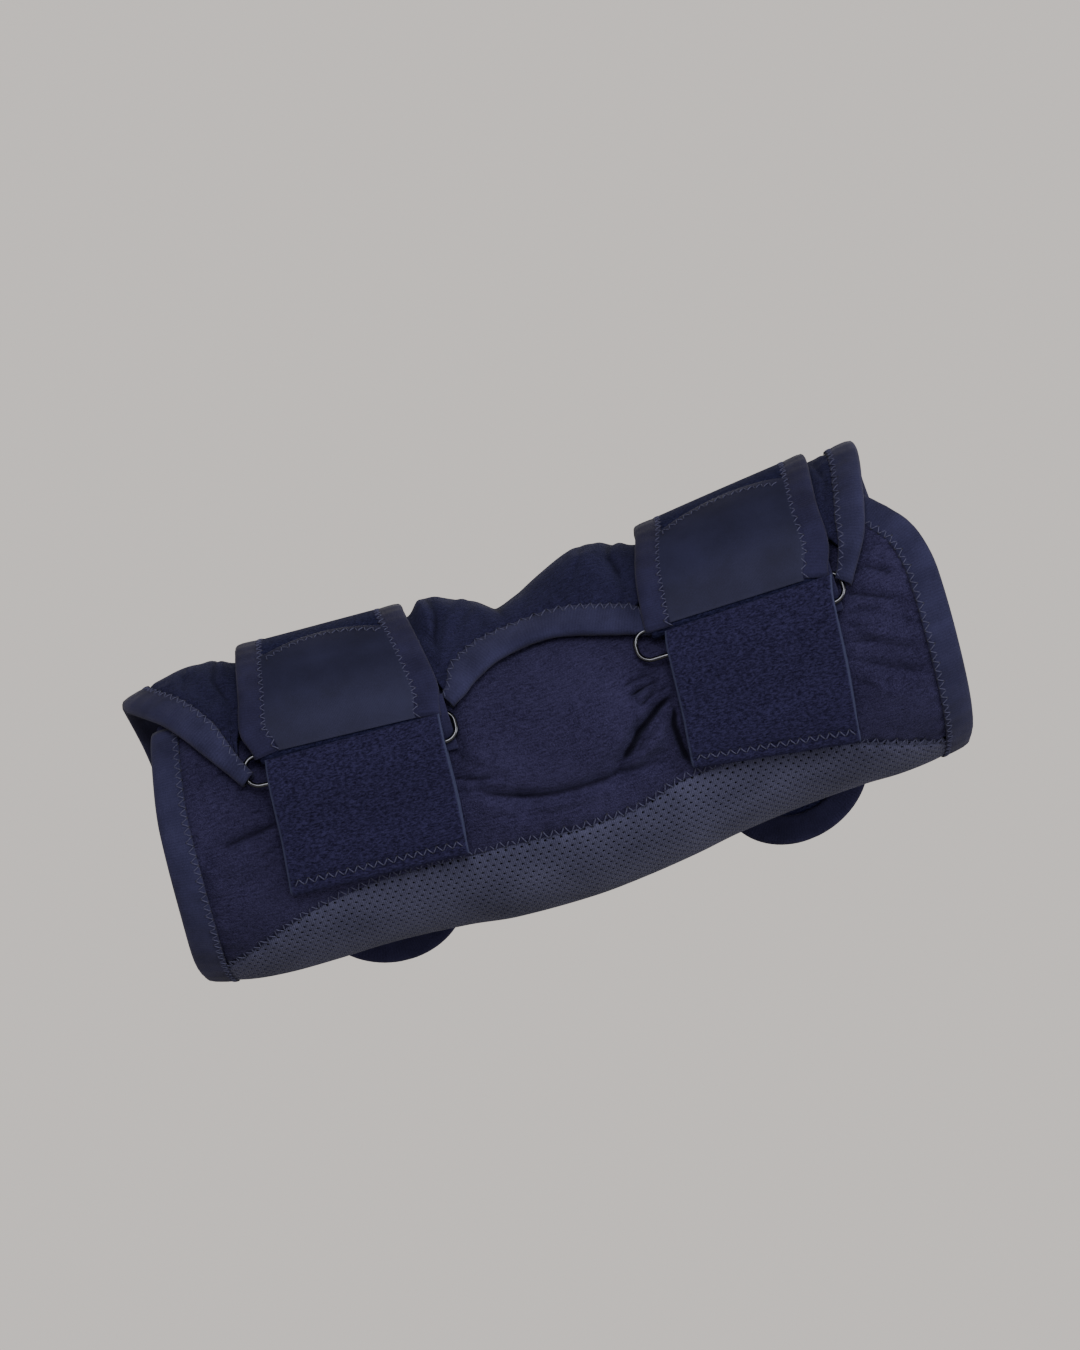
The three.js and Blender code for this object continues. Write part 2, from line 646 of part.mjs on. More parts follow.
// Tab: a strip turned round the ring's lower wire, sewn down at its bottom fold and brought back up
// over itself, past the wire
function tab(closure) {
  const frame = ringFrame(closure.ring);
  const radius = wireRadius + gap + tabThickness / 2;
  const inner = nearOuter + gap + tabThickness / 2;
  const outer = inner + tabThickness + gap;
  const { top, bottom } = closure.tab;
  const share = (x) => (x / braceLength - bottom[0]) / (bottom[1] - bottom[0]);
  const topAngle = (x) => mix(top[2], top[3], share(x));
  const bottomAngle = (x) => mix(bottom[2], bottom[3], share(x));
  const loop = halfTurn(radius, 0, 180, 6);
  const clear = radius + tabThickness + gap;
  const pointsAt = (x) => {
    const points = [besideWire(frame, -1, x, -tabTail, radius)];
    for (const [up, out] of loop) points.push(besideWire(frame, -1, x, up, out));
    const low = bottomAngle(x);
    for (const t of [0.35, 0.7, 1]) points.push(onArm(x, mix(5, low, t), inner));
    points.push(onArm(x, low - foldReach, (inner + outer) / 2));
    for (const t of [0, 0.3, 0.55]) points.push(onArm(x, mix(low, 8, t), outer));
    points.push(besideWire(frame, -1, x, -tabTail, clear));
    points.push(besideWire(frame, -1, x, 1.5, clear));
    const reach = (topAngle(x) - mix(closure.ring.lower[0], closure.ring.lower[1], share(x))) * mmPerDegree;
    points.push(besideWire(frame, -1, x, reach, clear - 0.3));
    return points;
  };
  const route = ribbon(pointsAt, bottom[0] * braceLength, top[1] * braceLength);
  const heights = [8, 10, 11, 12, 13, 13, 12, 11, 0, -12, bottom[2], bottom[2], bottom[2], -15, -6, 7, 13, top[2]];
  const rows = route.knots.map((s, k) => ({ s, angle: heights[k] }));
  const edgeAt = (s, column) => {
    const t = (read(rows, 's', 'angle', s) - bottom[2]) / (top[2] - bottom[2]);
    return mix(bottom[column], top[column], t) * braceLength;
  };
  const steps = [];
  for (let k = 0; k < route.knots.length - 1; k += 1) {
    steps.push(route.knots[k]);
    if (route.knots[k + 1] - route.knots[k] > 6) steps.push((route.knots[k] + route.knots[k + 1]) / 2);
  }
  steps.push(route.length);
  const face = (i, j, side) => {
    const x = mix(edgeAt(steps[j], 0), edgeAt(steps[j], 1), i / strapColumns);
    return route.place(x, steps[j], (side ? 0.5 : -0.5) * tabThickness);
  };
  const solid = wall(strapColumns, steps.length - 1, face);
  return mesh(`${closure.name}_tab`, solid.positions, solid.indices, 0x1c1e34, 1);
}

const brace = new THREE.Group();
brace.add(nearPanel(), farPanel(), meshPanel());
brace.add(endBinding('forearm_binding', 'forearm', -1), endBinding('upper_arm_binding', 'upperArm', 1));
brace.add(crookBinding());
for (const closure of closures) {
  const route = strapRoute(closure);
  brace.add(ring(closure), strap(closure, route), strapTape(closure, route));
  brace.add(strapPatch(closure, route), tab(closure));
}

export default brace;
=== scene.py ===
# %% [markdown]
# # An elbow brace, piece by piece
# A soft wrap: two padded panels, a perforated panel underneath, folded tapes on the edges, two
# bands over the top, two wire rings and two napped tabs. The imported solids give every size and
# place. Each soft solid is replaced here by a finer piece in the same place.

import bpy
import numpy as np
from mathutils import Matrix


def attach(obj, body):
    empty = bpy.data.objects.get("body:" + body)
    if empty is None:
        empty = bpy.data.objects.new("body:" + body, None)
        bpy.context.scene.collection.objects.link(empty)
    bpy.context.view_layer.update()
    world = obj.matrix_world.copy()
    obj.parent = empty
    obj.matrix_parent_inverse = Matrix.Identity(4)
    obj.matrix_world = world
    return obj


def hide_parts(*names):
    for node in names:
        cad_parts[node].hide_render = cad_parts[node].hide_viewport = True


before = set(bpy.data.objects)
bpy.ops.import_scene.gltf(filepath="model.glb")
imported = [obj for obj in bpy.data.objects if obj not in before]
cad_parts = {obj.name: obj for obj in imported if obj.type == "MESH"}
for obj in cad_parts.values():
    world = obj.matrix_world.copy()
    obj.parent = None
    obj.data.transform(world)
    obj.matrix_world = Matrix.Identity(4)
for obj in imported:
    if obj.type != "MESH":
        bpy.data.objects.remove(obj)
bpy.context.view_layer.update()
print("solids:", sorted(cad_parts))


def in_scene(name, data):
    """A new object in the scene, from a camera, a light or a mesh."""
    made = bpy.data.objects.new(name, data)
    bpy.context.scene.collection.objects.link(made)
    return made


# %% [markdown]
# ## Camera and light
# The brace is seen level from the near side, and rises to the right. So the camera looks along +Y
# from far away and is rolled. One wide soft lamp from above the camera shapes the folds, two
# weaker ones fill in, and the pale world around them stands in for a plain studio.

# %% Camera
ROLL = np.radians(17)
LENS, SENSOR = 195.56, 36  # mm
CAMERA_PLACE = (-0.0016, -2.2, 0.0152)
right = np.array([np.cos(ROLL), 0, -np.sin(ROLL)])
up = np.array([np.sin(ROLL), 0, np.cos(ROLL)])
turn = Matrix((right, up, (0, -1, 0))).transposed().to_4x4()
camera = in_scene("camera", bpy.data.cameras.new("camera"))
camera.data.lens, camera.data.sensor_width = LENS, SENSOR
camera.matrix_world = Matrix.Translation(CAMERA_PLACE) @ turn
bpy.context.scene.camera = camera
print("camera at", CAMERA_PLACE)

# %% Light


def lamp(name, place, size, power, colour=(1, 1, 1)):
    """A square soft lamp that faces the brace: place and size in metres, power in watts."""
    light = bpy.data.lights.new(name, "AREA")
    light.size, light.energy, light.color = size, power, colour
    holder = in_scene(name, light)
    holder.location = place
    holder.rotation_euler = (-holder.location).to_track_quat("-Z", "Y").to_euler()


lamp("key_light", (0.2, -2.5, 1.1), 1.4, 49, (1, 0.985, 0.96))
lamp("side_light", (2.2, -1.2, 0.1), 1.0, 24)
lamp("back_light", (0.3, 2.4, 0.7), 1.2, 14)

# The world is bright up to one height of the view direction, and dim above another
BRIGHT_BELOW, DIM_ABOVE, BRIGHT, DIM = 0.18, 0.75, 1.0, 0.22
WORLD_COLOUR = (0.78, 0.73, 0.69, 1)
world = bpy.data.worlds.new("studio")
world.use_nodes = True
nodes, links = world.node_tree.nodes, world.node_tree.links
direction = nodes.new("ShaderNodeSeparateXYZ")
links.new(nodes.new("ShaderNodeTexCoord").outputs["Generated"], direction.inputs[0])
overhead = nodes.new("ShaderNodeMapRange")
overhead.interpolation_type = "SMOOTHSTEP"
for socket, value in zip(overhead.inputs[1:5], (BRIGHT_BELOW, DIM_ABOVE, BRIGHT, DIM)):
    socket.default_value = value
links.new(direction.outputs["Z"], overhead.inputs[0])
links.new(overhead.outputs[0], nodes["Background"].inputs["Strength"])
nodes["Background"].inputs["Color"].default_value = WORLD_COLOUR
bpy.context.scene.world = world

# %% [markdown]
# ## Materials as expressions
# A pattern is easier to read as a sum than as boxes and wires. `Value` wraps a socket, and adds the
# Math node that each operator stands for. `Finish.node` adds any other node.

# %% Shader helpers


class Value:
    """A number that changes over a surface."""

    def __init__(self, finish, socket):
        self.finish, self.socket = finish, socket

    def math(self, operation, *others):
        inputs = {i: o for i, o in enumerate([self, *others])}
        return self.finish.node("ShaderNodeMath", {"operation": operation}, inputs)

    def __add__(self, other):
        return self.math("ADD", other)

    def __sub__(self, other):
        return self.math("SUBTRACT", other)

    def __rsub__(self, other):
        return self.finish.number(other).math("SUBTRACT", self)

    def __mul__(self, other):
        return self.math("MULTIPLY", other)

    __radd__, __rmul__ = __add__, __mul__

    def waves(self, pitch):
        """Between -1 and 1, with one wave in each pitch."""
        return (self * (2 * np.pi / pitch)).math("SINE")

    def between(self, low, high):
        """0 below low, 1 above high, and a soft step between them."""
        settings = {"interpolation_type": "SMOOTHSTEP"}
        return self.finish.node("ShaderNodeMapRange", settings, {0: self, 1: low, 2: high})


class Finish:
    """A material whose nodes are added one by one."""

    def __init__(self, name, **constants):
        self.material = bpy.data.materials.new(name)
        self.material.use_nodes = True
        self.tree = self.material.node_tree
        self.shader = self.tree.nodes["Principled BSDF"]
        for socket, value in constants.items():
            self.shader.inputs[socket.replace("_", " ")].default_value = value

    def node(self, kind, settings=None, inputs=None, output=0):
        """Any node, by its type, its settings and the values or links of its sockets."""
        made = self.tree.nodes.new(kind)
        for key, value in (settings or {}).items():
            setattr(made, key, value)
        for key, value in (inputs or {}).items():
            if isinstance(value, Value):
                self.tree.links.new(value.socket, made.inputs[key])
            else:
                made.inputs[key].default_value = value
        return Value(self, made.outputs[output])

    def number(self, value):
        made = self.node("ShaderNodeValue")
        made.socket.default_value = value
        return made

    def place(self):
        """Object coordinates, in metres."""
        return self.node("ShaderNodeTexCoord", output="Object")

    def stored(self, name, output):
        """A number or a vector that the piece keeps for each of its points."""
        return self.node("ShaderNodeAttribute", {"attribute_name": name}, output=output)

    def across_along(self):
        """Where a point lies on its flat cloth: mm across and mm along."""
        across = self.node("ShaderNodeSeparateXYZ", {}, {0: self.stored("lay", "Vector")})
        return across, Value(self, across.socket.node.outputs[1])

    def mark(self):
        """How deep a crease is, how near a tab's side is, or how high a thread stands."""
        return self.stored("mark", "Fac")

    def noise(self, scale, detail=2.0, rough=0.5, vector=None):
        inputs = {"Vector": vector or self.place(), "Scale": scale, "Detail": detail}
        return self.node("ShaderNodeTexNoise", {}, {**inputs, "Roughness": rough})

    def cells(self, scale):
        return self.node("ShaderNodeTexVoronoi", {}, {"Vector": self.place(), "Scale": scale})

    def blend(self, share, first, second):
        """One colour into another."""
        settings = {"data_type": "RGBA"}
        return self.node("ShaderNodeMix", settings, {0: share, 6: first, 7: second}, output=2)

    def show(self, **links):
        for socket, value in links.items():
            self.tree.links.new(value.socket, self.shader.inputs[socket.replace("_", " ")])
        return self

    def bump(self, height, distance, strength):
        """A relief of that many metres."""
        inputs = {"Height": height, "Distance": distance, "Strength": strength}
        return self.show(Normal=self.node("ShaderNodeBump", {}, inputs))


def rgb(code):
    """A colour of the screen, such as 0x22254a, as the light it sends back."""
    parts = [(code >> shift & 255) / 255 for shift in (16, 8, 0)]
    return (*[((c + 0.055) / 1.055) ** 2.4 for c in parts], 1.0)


# A colour darkened by a share: the colour of painted shade.
def shade_of(colour, share):
    return (*[share * c for c in colour[:3]], 1.0)


SHEEN_TINT = (0.35, 0.4, 0.8, 1)  # the bluish light on the tips of short fibres

# %% [markdown]
# ### Panel cloth
# The panels are foam with a brushed loop cloth on it. Each loop is a bump of about half a
# millimetre, and the brushing leaves faint streaks round the brace and small pale and dark specks.
# Sheen on the shader gives the soft rim of light that short fibres have. The bottom of a crease
# gets painted shade: the depth that each point keeps as its mark says where that is.

# %% Panel cloth


def loop_cloth(name, dark, pale):
    finish = Finish(name, Roughness=0.95, Specular_IOR_Level=0.12, Sheen_Weight=0.06,
                    Sheen_Roughness=0.45, Sheen_Tint=SHEEN_TINT)
    across, along = finish.across_along()
    loops = finish.cells(1900)
    fuzz = finish.noise(3600, 3, 0.7)
    cloud = finish.noise(55, 3, 0.55)
    rows = finish.node("ShaderNodeCombineXYZ", {}, {0: across * 0.35, 1: along * 1.5})
    streaks = finish.noise(1.0, 3, 0.65, rows)
    tone = 0.3 * cloud + 0.6 * streaks + 0.7 * (fuzz - 0.5) + 0.25 * (0.5 - loops)
    share = tone.between(0.15, 0.75)
    cloth = finish.blend(share, dark, pale)
    # painted shade in the bottom of each crease, darker where the crease is deeper
    crease_shade = finish.mark().between(0.12, 1.4)
    finish.show(Base_Color=finish.blend(crease_shade, cloth, shade_of(dark, 0.4)))
    height = 0.5 * (1.0 - loops) + 0.6 * fuzz + 0.7 * streaks
    return finish.bump(height, 0.00055, 0.9).material


near_cloth = loop_cloth("near_cloth", rgb(0x151229), rgb(0x363354))
# the far panel has the same loop cloth in a darker copy: painted shade on the panel over the top
shaded_far_cloth = loop_cloth("shaded_far_cloth", rgb(0x0f0e23), rgb(0x2a294a))

# %% [markdown]
# ### Tape, smooth band, pile, thread and wire
# The tapes are a fine slate knit whose ribs run across them. The smooth part of the bands is a
# tight plain weave with a soft gloss. The tabs are a dense dark pile: clumps, with bright tips, and
# a pale edge thread. The thread is a twisted pair with painted shade where it dives into the cloth,
# and the wire is a polished dark metal.

# %% Tape, band, pile, thread and wire


def knit_tape(name, dark, pale):
    finish = Finish(name, Roughness=0.9, Specular_IOR_Level=0.12, Sheen_Weight=0.05,
                    Sheen_Roughness=0.5)
    across, along = finish.across_along()
    ribs = along.waves(0.9)
    wales = across.waves(0.7)
    fuzz = finish.noise(3000, 3, 0.65)
    cloud = finish.noise(120, 2)
    share = (0.5 * fuzz + 0.4 * cloud + 0.03 * ribs).between(0.2, 0.75)
    finish.show(Base_Color=finish.blend(share, dark, pale))
    return finish.bump(0.04 * ribs + 0.05 * wales + 0.9 * fuzz, 0.0002, 0.8).material


def smooth_weave(name, dark, pale):
    finish = Finish(name, Roughness=0.7, Specular_IOR_Level=0.2, Sheen_Weight=0.03,
                    Sheen_Roughness=0.35)
    across, along = finish.across_along()
    weave = across.waves(0.5) * along.waves(0.5)
    cloud = finish.noise(70, 3)
    fine = finish.noise(2500, 2)
    share = (0.7 * cloud + 0.3 * fine + 0.05 * weave).between(0.25, 0.8)
    finish.show(Base_Color=finish.blend(share, dark, pale))
    return finish.bump(0.5 * weave + 0.5 * fine, 0.00007, 0.6).material


def pile(name, dark, pale):
    finish = Finish(name, Roughness=1.0, Specular_IOR_Level=0.05, Sheen_Weight=0.03,
                    Sheen_Roughness=0.6, Sheen_Tint=SHEEN_TINT)
    clumps = finish.noise(900, 3, 0.7)
    curls = finish.noise(1500, 2, 0.6, finish.node(
        "ShaderNodeMapping", {}, {"Vector": finish.place(), "Scale": (0.6, 1.0, 1.3)}))
    tips = finish.noise(3200, 3, 0.7)
    tone = 0.25 * clumps + 0.75 * curls + 0.35 * tips
    cloth = finish.blend(tone.between(0.42, 0.98), dark, pale)
    edge_thread = rgb(0x3a3d58)
    finish.show(Base_Color=finish.blend(finish.mark(), cloth, edge_thread))
    return finish.bump(0.5 * clumps + 0.7 * curls + 0.3 * tips, 0.0006, 0.9).material


def twisted_thread(name, colour):
    finish = Finish(name, Roughness=0.7, Specular_IOR_Level=0.3)
    twist = finish.noise(2600, 2)
    # painted shade at the needle holes, where the thread dives into the cloth, and in patches along
    # the twist
    share = finish.mark().between(0.02, 0.2) * twist.between(0.1, 0.6)
    finish.show(Base_Color=finish.blend(share, shade_of(colour, 0.12), colour))
    return finish.bump(twist, 0.0001, 0.5).material


def plated_wire(name):
    finish = Finish(name, Metallic=1.0)
    scuffs = finish.noise(500, 3)
    finish.show(Roughness=0.09 + 0.12 * scuffs)
    finish.show(Base_Color=finish.blend(finish.noise(60), rgb(0x3a3b40), rgb(0x4c4d53)))
    return finish.material


def elbow_knit(name, dark, pale):
    finish = Finish(name, Roughness=0.85, Specular_IOR_Level=0.15, Sheen_Weight=0.05,
                    Sheen_Roughness=0.5)
    across, along = finish.across_along()
    wales = across.waves(0.6)
    courses = along.waves(0.42)
    fuzz = finish.noise(2600, 2, 0.6)
    cloud = finish.noise(45, 2)
    share = (0.45 * fuzz + 0.5 * cloud + 0.08 * wales).between(0.25, 0.75)
    finish.show(Base_Color=finish.blend(share, dark, pale))
    return finish.bump(0.3 * wales + 0.2 * courses + 0.5 * fuzz, 0.00012, 0.8).material


slate_tape = knit_tape("slate_tape", rgb(0x1c1c33), rgb(0x343454))
strap_edge = knit_tape("strap_edge", rgb(0x18172d), rgb(0x2c2b4b))
smooth_cloth = smooth_weave("smooth_cloth", rgb(0x18192f), rgb(0x242541))
band_cloth = pile("band_cloth", rgb(0x0c0c20), rgb(0x292a4a))
tab_pile = pile("tab_pile", rgb(0x0f0d1e), rgb(0x302e4f))
slate_thread = twisted_thread("slate_thread", rgb(0x42435f))
wire_finish = plated_wire("wire_finish")
elbow_cloth = elbow_knit("elbow_cloth", rgb(0x2e2f46), rgb(0x4b4c67))
hole_shade_backing = elbow_knit("hole_shade_backing", rgb(0x0f1018), rgb(0x1a1b28))
print("materials:", len(bpy.data.materials))

# %% [markdown]
# ## The form
# Every soft piece lies on the same round form, so one function gives it: a place is x mm along it,
# an angle round it (0 near side, 90 top, 180 far side, -90 underside) and a height outwards. The
# sections, seams, edges and folds are the tables that the solids were made from. The gathers and
# the sharp creases are finer, so their tables are here alone.

# %% Tables of the form, the edges and the folds
# Sizes are in mm. In a table, along is a share of LENGTH, and a depth or a width is a share of
# HEIGHT, unless the table says mm.
LENGTH, HEIGHT, WIDTH = 244, 84, 82
PANEL, TAPE, BINDING, STRAP, STRAP_TAPE, PATCH, TAB = 2.4, 0.6, 7.6, 1.6, 7, 0.6, 1.8
WIRE, GAP, RIM_GAP = 0.9, 0.48, 1.1
RING_LENGTH, RING_HEIGHT, RING_CORNER = 64.8, 10.6, 4.6
STRAP_TAIL, TAB_TAIL, STRAP_END, FOLD_REACH = 4.5, 4, 21, 1
NEAR_TOP = 58

# along, top, underside, side
SECTIONS = np.array([
    [-.52, .415, -.450, .450], [-.46, .463, -.505, .482], [-.41, .483, -.525, .500],
    [-.35, .444, -.530, .490], [-.27, .422, -.530, .474], [-.18, .408, -.550, .484],
    [-.12, .434, -.574, .508], [-.02, .406, -.582, .520], [.05, .420, -.568, .520],
    [.115, .440, -.545, .506], [.17, .434, -.519, .482], [.255, .464, -.494, .476],
    [.335, .495, -.483, .486], [.385, .537, -.484, .514], [.435, .560, -.469, .518],
    [.51, .548, -.418, .500],
])
# along, angle
SEAM = np.array([
    [-.51, -80], [-.477, -63], [-.41, -47], [-.33, -36], [-.15, -30.5], [0, -31.5],
    [.06, -32.5], [.13, -28.7], [.258, -35], [.34, -45], [.424, -61], [.485, -80],
])
# angle, left end, right end
NEAR_ENDS = np.array([
    [-82, -.501, .468], [-62, -.505, .476], [-30, -.501, .481], [7, -.495, .483],
    [18, -.491, .479], [28, -.486, .469], [38, -.481, .447], [49, -.475, .420],
    [58, -.462, .400],
])
FAR_ENDS = np.array([
    [16, -.386, .382], [28, -.416, .410], [39, -.438, .422], [48, -.456, .428],
    [60, -.481, .4345], [72, -.497, .4375], [95, -.503, .4375], [140, -.497, .446],
    [180, -.494, .466], [242, -.497, .474], [262, -.501, .468],
])
# along, angle
SCALLOP = np.array([
    [-.386, 16], [-.383, 25], [-.376, 33], [-.355, 36.5], [-.16, 36.5], [-.13, 35],
    [-.117, 26], [-.084, 32.5], [-.052, 39], [-.012, 42.5], [.02, 42], [.052, 38.5],
    [.084, 34], [.112, 31.5], [.127, 38], [.15, 41], [.345, 36.5], [.372, 33],
    [.386, 26], [.393, 20],
])
# from (along, angle), to (along, angle), depth, width
FOLDS = [
    (-.115, 68, -.12, 128, .038, .10), (-.025, 76, -.03, 122, -.042, .090),
    (.075, 70, .08, 126, .056, .145), (-.07, 8, .04, 6, .030, .20),
    (-.13, -5, -.07, -15, -.022, .04), (-.07, -15, .05, -17.5, -.024, .045),
    (.05, -17.5, .1, -18.5, -.020, .04), (.13, 4, .085, -5, -.034, .032),
    (.085, -5, .055, -12, -.026, .030), (.128, 2, .13, -26, -.030, .035),
    (-.37, -2, -.45, -7, -.020, .040), (.42, 14, .455, 7, -.016, .035),
    (.38, 13, .435, 1, -.018, .035), (.37, -11, .42, -22, -.020, .045),
]
# The finer gathers that the solids leave out
GATHERS = [
    (.128, 20, .105, 15, .012, .014), (.126, 14, .098, 10, -.014, .014),
    (.124, 9, .10, 5.5, .010, .013), (.112, 0, .078, -9, .014, .020),
    (.10, 7, .06, 4, -.007, .022), (.06, -8, .02, -14, -.008, .024),
    (.122, -9, .096, -13, .008, .016), (.125, -17, .09, -15.5, -.010, .018),
    (-.115, 1, -.085, -4, -.010, .018), (-.115, -9, -.08, -12, .008, .018),
    (-.04, -19, .03, -21, .009, .030), (.00, 30, .03, 22, -.006, .030),
    (-.05, 26, -.02, 20, -.005, .030), (-.375, 9, -.415, 5, .008, .020),
    (-.378, 14, -.42, 14, -.009, .020), (-.378, -9, -.43, -14, .008, .022),
    (-.378, -17, -.42, -22, -.007, .022), (-.385, 22, -.41, 25, .006, .016),
    (.385, 10, .42, 4, .008, .018), (.382, 5, .43, -6, -.010, .018),
    (.38, -1, .42, -11, .008, .020), (.378, -6, .43, -16, -.009, .020),
    (.43, 20, .462, 15, -.008, .016), (.435, 25, .462, 24, .006, .016),
    (.42, -4, .465, -10, -.006, .018), (.372, -22, .40, -30, .007, .020),
    (-.09, 58, -.07, 74, .010, .030), (-.125, 45, -.10, 60, -.010, .022),
    (.10, 50, .085, 66, .010, .030), (.125, 50, .115, 62, -.010, .022),
    (-.40, 50, -.42, 66, -.010, .030), (.395, 48, .41, 62, -.010, .026),
    (-.37, 60, -.385, 90, .012, .030), (.385, 62, .39, 90, -.010, .030),
]
# Sharp creases: depth and width in mm, then places (mm along, angle)
NEAR_CREASES = [
    (2.5, 1.3, [(34, 4), (28.5, 0), (21.5, -5.5), (13, -14.5)]),
    (1.5, 1.0, [(29, -4), (22, -9), (17.5, -13.5)]),
    (1.5, 0.8, [(33, 10), (27, 9.5), (21, 8)]), (1.2, 0.7, [(33, 13.5), (26, 13), (20, 12.5)]),
    (1.6, 0.9, [(34, 7), (28, 5.5), (23, 2.5)]), (0.4, 0.8, [(31, 17), (22, 15.5)]),
    (1.8, 1.3, [(34, 2), (31.8, -8), (32.2, -18), (33.6, -27)]),
    (1.1, 1.3, [(-34, -4), (-26, -9.5), (-16.4, -14.5), (-4.6, -16), (8, -17.2), (20, -18.2),
                (31, -21)]),
    (1.1, 0.9, [(-36, 0.5), (-30, -3), (-22, -4.5)]), (0.6, 0.8, [(-36, -5), (-31, -8)]),
    (1.1, 1.1, [(-87, -0.5), (-96, -3.5), (-107, -6.5)]),
    (0.5, 0.6, [(-87.5, 10), (-94, 9.6)]), (0.6, 0.6, [(-87.5, 7.5), (-96, 6.8)]),
    (0.6, 0.6, [(-87.5, 5), (-95, 4.2)]), (0.5, 0.6, [(-87.5, 2.5), (-94, 1.4)]),
    (0.6, 0.8, [(-90, 19), (-99, 21), (-109, 20)]), (0.5, 0.9, [(-88, -9), (-97, -13)]),
    (0.9, 0.9, [(92, 20), (99, 19), (108, 11)]), (1.0, 0.9, [(90, 14), (97, 9), (106, 2)]),
    (0.8, 1.0, [(88, -11), (96, -18), (108, -28)]), (0.7, 0.7, [(89, 6), (98, 3)]),
    (0.7, 0.7, [(89, 1), (98, -3)]), (0.7, 0.8, [(88, -4), (97, -9)]),
    (0.5, 0.8, [(98, 27), (108, 23)]), (0.5, 0.8, [(86, -18), (93, -25)]),
    (0.4, 1.0, [(-20, 20), (-8, 12), (6, 9)]), (0.4, 1.2, [(-30, -18), (-12, -22), (6, -23)]),
]
FAR_CREASES = [
    (0.9, 1.3, [(-30, 45), (-26, 62), (-28, 85)]), (0.9, 1.3, [(30, 50), (28, 66), (31, 90)]),
    (0.8, 1.2, [(-91, 42), (-95, 60), (-92, 90)]), (0.7, 1.2, [(93, 42), (96, 56), (94, 80)]),
    (1.1, 2.2, [(-7, 54), (-9, 80), (-6, 112)]), (0.6, 1.0, [(-22, 52), (-16, 64), (-14, 80)]),
    (0.5, 1.0, [(14, 55), (20, 66), (21, 85)]), (0.6, 1.2, [(-104, 55), (-103, 80)]),
    (0.6, 1.4, [(30, 140), (20, 160), (4, 172)]), (0.6, 1.4, [(-34, 140), (-22, 165), (-4, 176)]),
    (0.5, 1.4, [(-100, 120), (-96, 160)]), (0.5, 1.4, [(100, 110), (102, 150)]),
]
CLOSURES = [
    dict(
        name="forearm", ring=(-.382, -.12), lower=(12.6, 11.6),
        # angle, left edge, right edge
        strap=np.array([
            [0, -.3585, -.1405], [22, -.3585, -.1405], [30, -.367, -.134], [44, -.358, -.139],
            [70, -.349, -.149], [100, -.347, -.152], [180, -.362, -.176], [300, -.362, -.176],
        ]),
        tab_top=(-.353, -.136, 19.5, 20.5), tab_bottom=(-.371, -.150, -26, -26.4),
        patch_top=73, drop=.605,
    ),
    dict(
        name="upper_arm", ring=(.1155, .3715), lower=(16.8, 9.6),
        strap=np.array([
            [0, .1365, .3545], [22, .1365, .3545], [30, .138, .366], [44, .143, .367],
            [70, .160, .374], [100, .161, .374], [180, .169, .356], [300, .169, .356],
        ]),
        tab_top=(.152, .364, 23.7, 18), tab_bottom=(.137, .342, -23, -39),
        patch_top=75, drop=.65,
    ),
]
INNER = 2 * GAP + TAPE
OUTER = INNER + PANEL
LIFT = PANEL + 2 * (TAPE + GAP) + GAP
STRAP_SEAT = 2 * GAP + TAPE + STRAP / 2
RING_SEAT = OUTER + GAP + TAB + GAP + WIRE
SUNK_AT = 128  # the angle from which the far panel lies on the form
ARC = np.radians(1) * (HEIGHT / 2 + OUTER)  # mm round the form for each degree

# %% Places on the form and on the cloth


def mix(a, b, t):
    return a + (b - a) * t


def smooth(a, b, x):
    t = np.clip((x - a) / (b - a), 0, 1)
    return t * t * (3 - 2 * t)


def read(table, column, x):
    """One column of a table at x, on a smooth curve through its rows."""
    keys, values = table[:, 0], table[:, column]
    slopes = np.empty(len(keys))
    slopes[1:-1] = (values[2:] - values[:-2]) / (keys[2:] - keys[:-2])
    slopes[0] = (values[1] - values[0]) / (keys[1] - keys[0])
    slopes[-1] = (values[-1] - values[-2]) / (keys[-1] - keys[-2])
    i = np.clip(np.searchsorted(keys, x, side="right") - 1, 0, len(keys) - 2)
    h = keys[i + 1] - keys[i]
    t = np.clip((x - keys[i]) / h, 0, 1)
    return ((2 * t**3 - 3 * t**2 + 1) * values[i] + (t**3 - 2 * t**2 + t) * h * slopes[i]
            + (3 * t**2 - 2 * t**3) * values[i + 1] + (t**3 - t**2) * h * slopes[i + 1])


def pressed(x, angle):
    """1 under a band or a tab, which hold the cloth flat, and 0 beside them."""
    most = np.zeros(np.broadcast(x, angle).shape)
    turned = np.where(angle < -100, angle + 360, angle)
    for closure in CLOSURES:
        left = read(closure["strap"], 1, np.maximum(turned, 0)) * LENGTH
        far_right = read(closure["strap"], 2, np.maximum(turned, 0)) * LENGTH
        across = smooth(left - 7, left - 2, x) * (1 - smooth(far_right + 2, far_right + 7, x))
        down = smooth(-44, -36, turned) * (1 - smooth(215, 235, turned))
        most = np.maximum(most, across * down)
    return most


def runs_along(points):
    """How far along a line each of its points is."""
    steps = np.linalg.norm(np.diff(points, axis=0), axis=1)
    return np.concatenate([[0], np.cumsum(steps)])


def beside_line(x, y, start, end):
    """How far along a straight line each place is, as a share, and how far away from it."""
    (ax, ay), (bx, by) = start, end - start
    px, py = x - ax, y - ay
    t = np.clip((px * bx + py * by) / (bx * bx + by * by), 0, 1)
    return t, np.hypot(px - t * bx, py - t * by)


def relief(x, angle):
    """Height that the folds and gathers add to the cloth."""
    scale = np.array([LENGTH, np.radians(1) * HEIGHT / 2])
    height = np.zeros(np.broadcast(x, angle).shape)
    for x0, a0, x1, a1, depth, width in FOLDS + GATHERS:
        _, away = beside_line(x, angle * scale[1], scale * (x0, a0), scale * (x1, a1))
        height += depth * HEIGHT * np.exp(-(away / (width * HEIGHT)) ** 2)
    return height * (1 - pressed(x, angle))


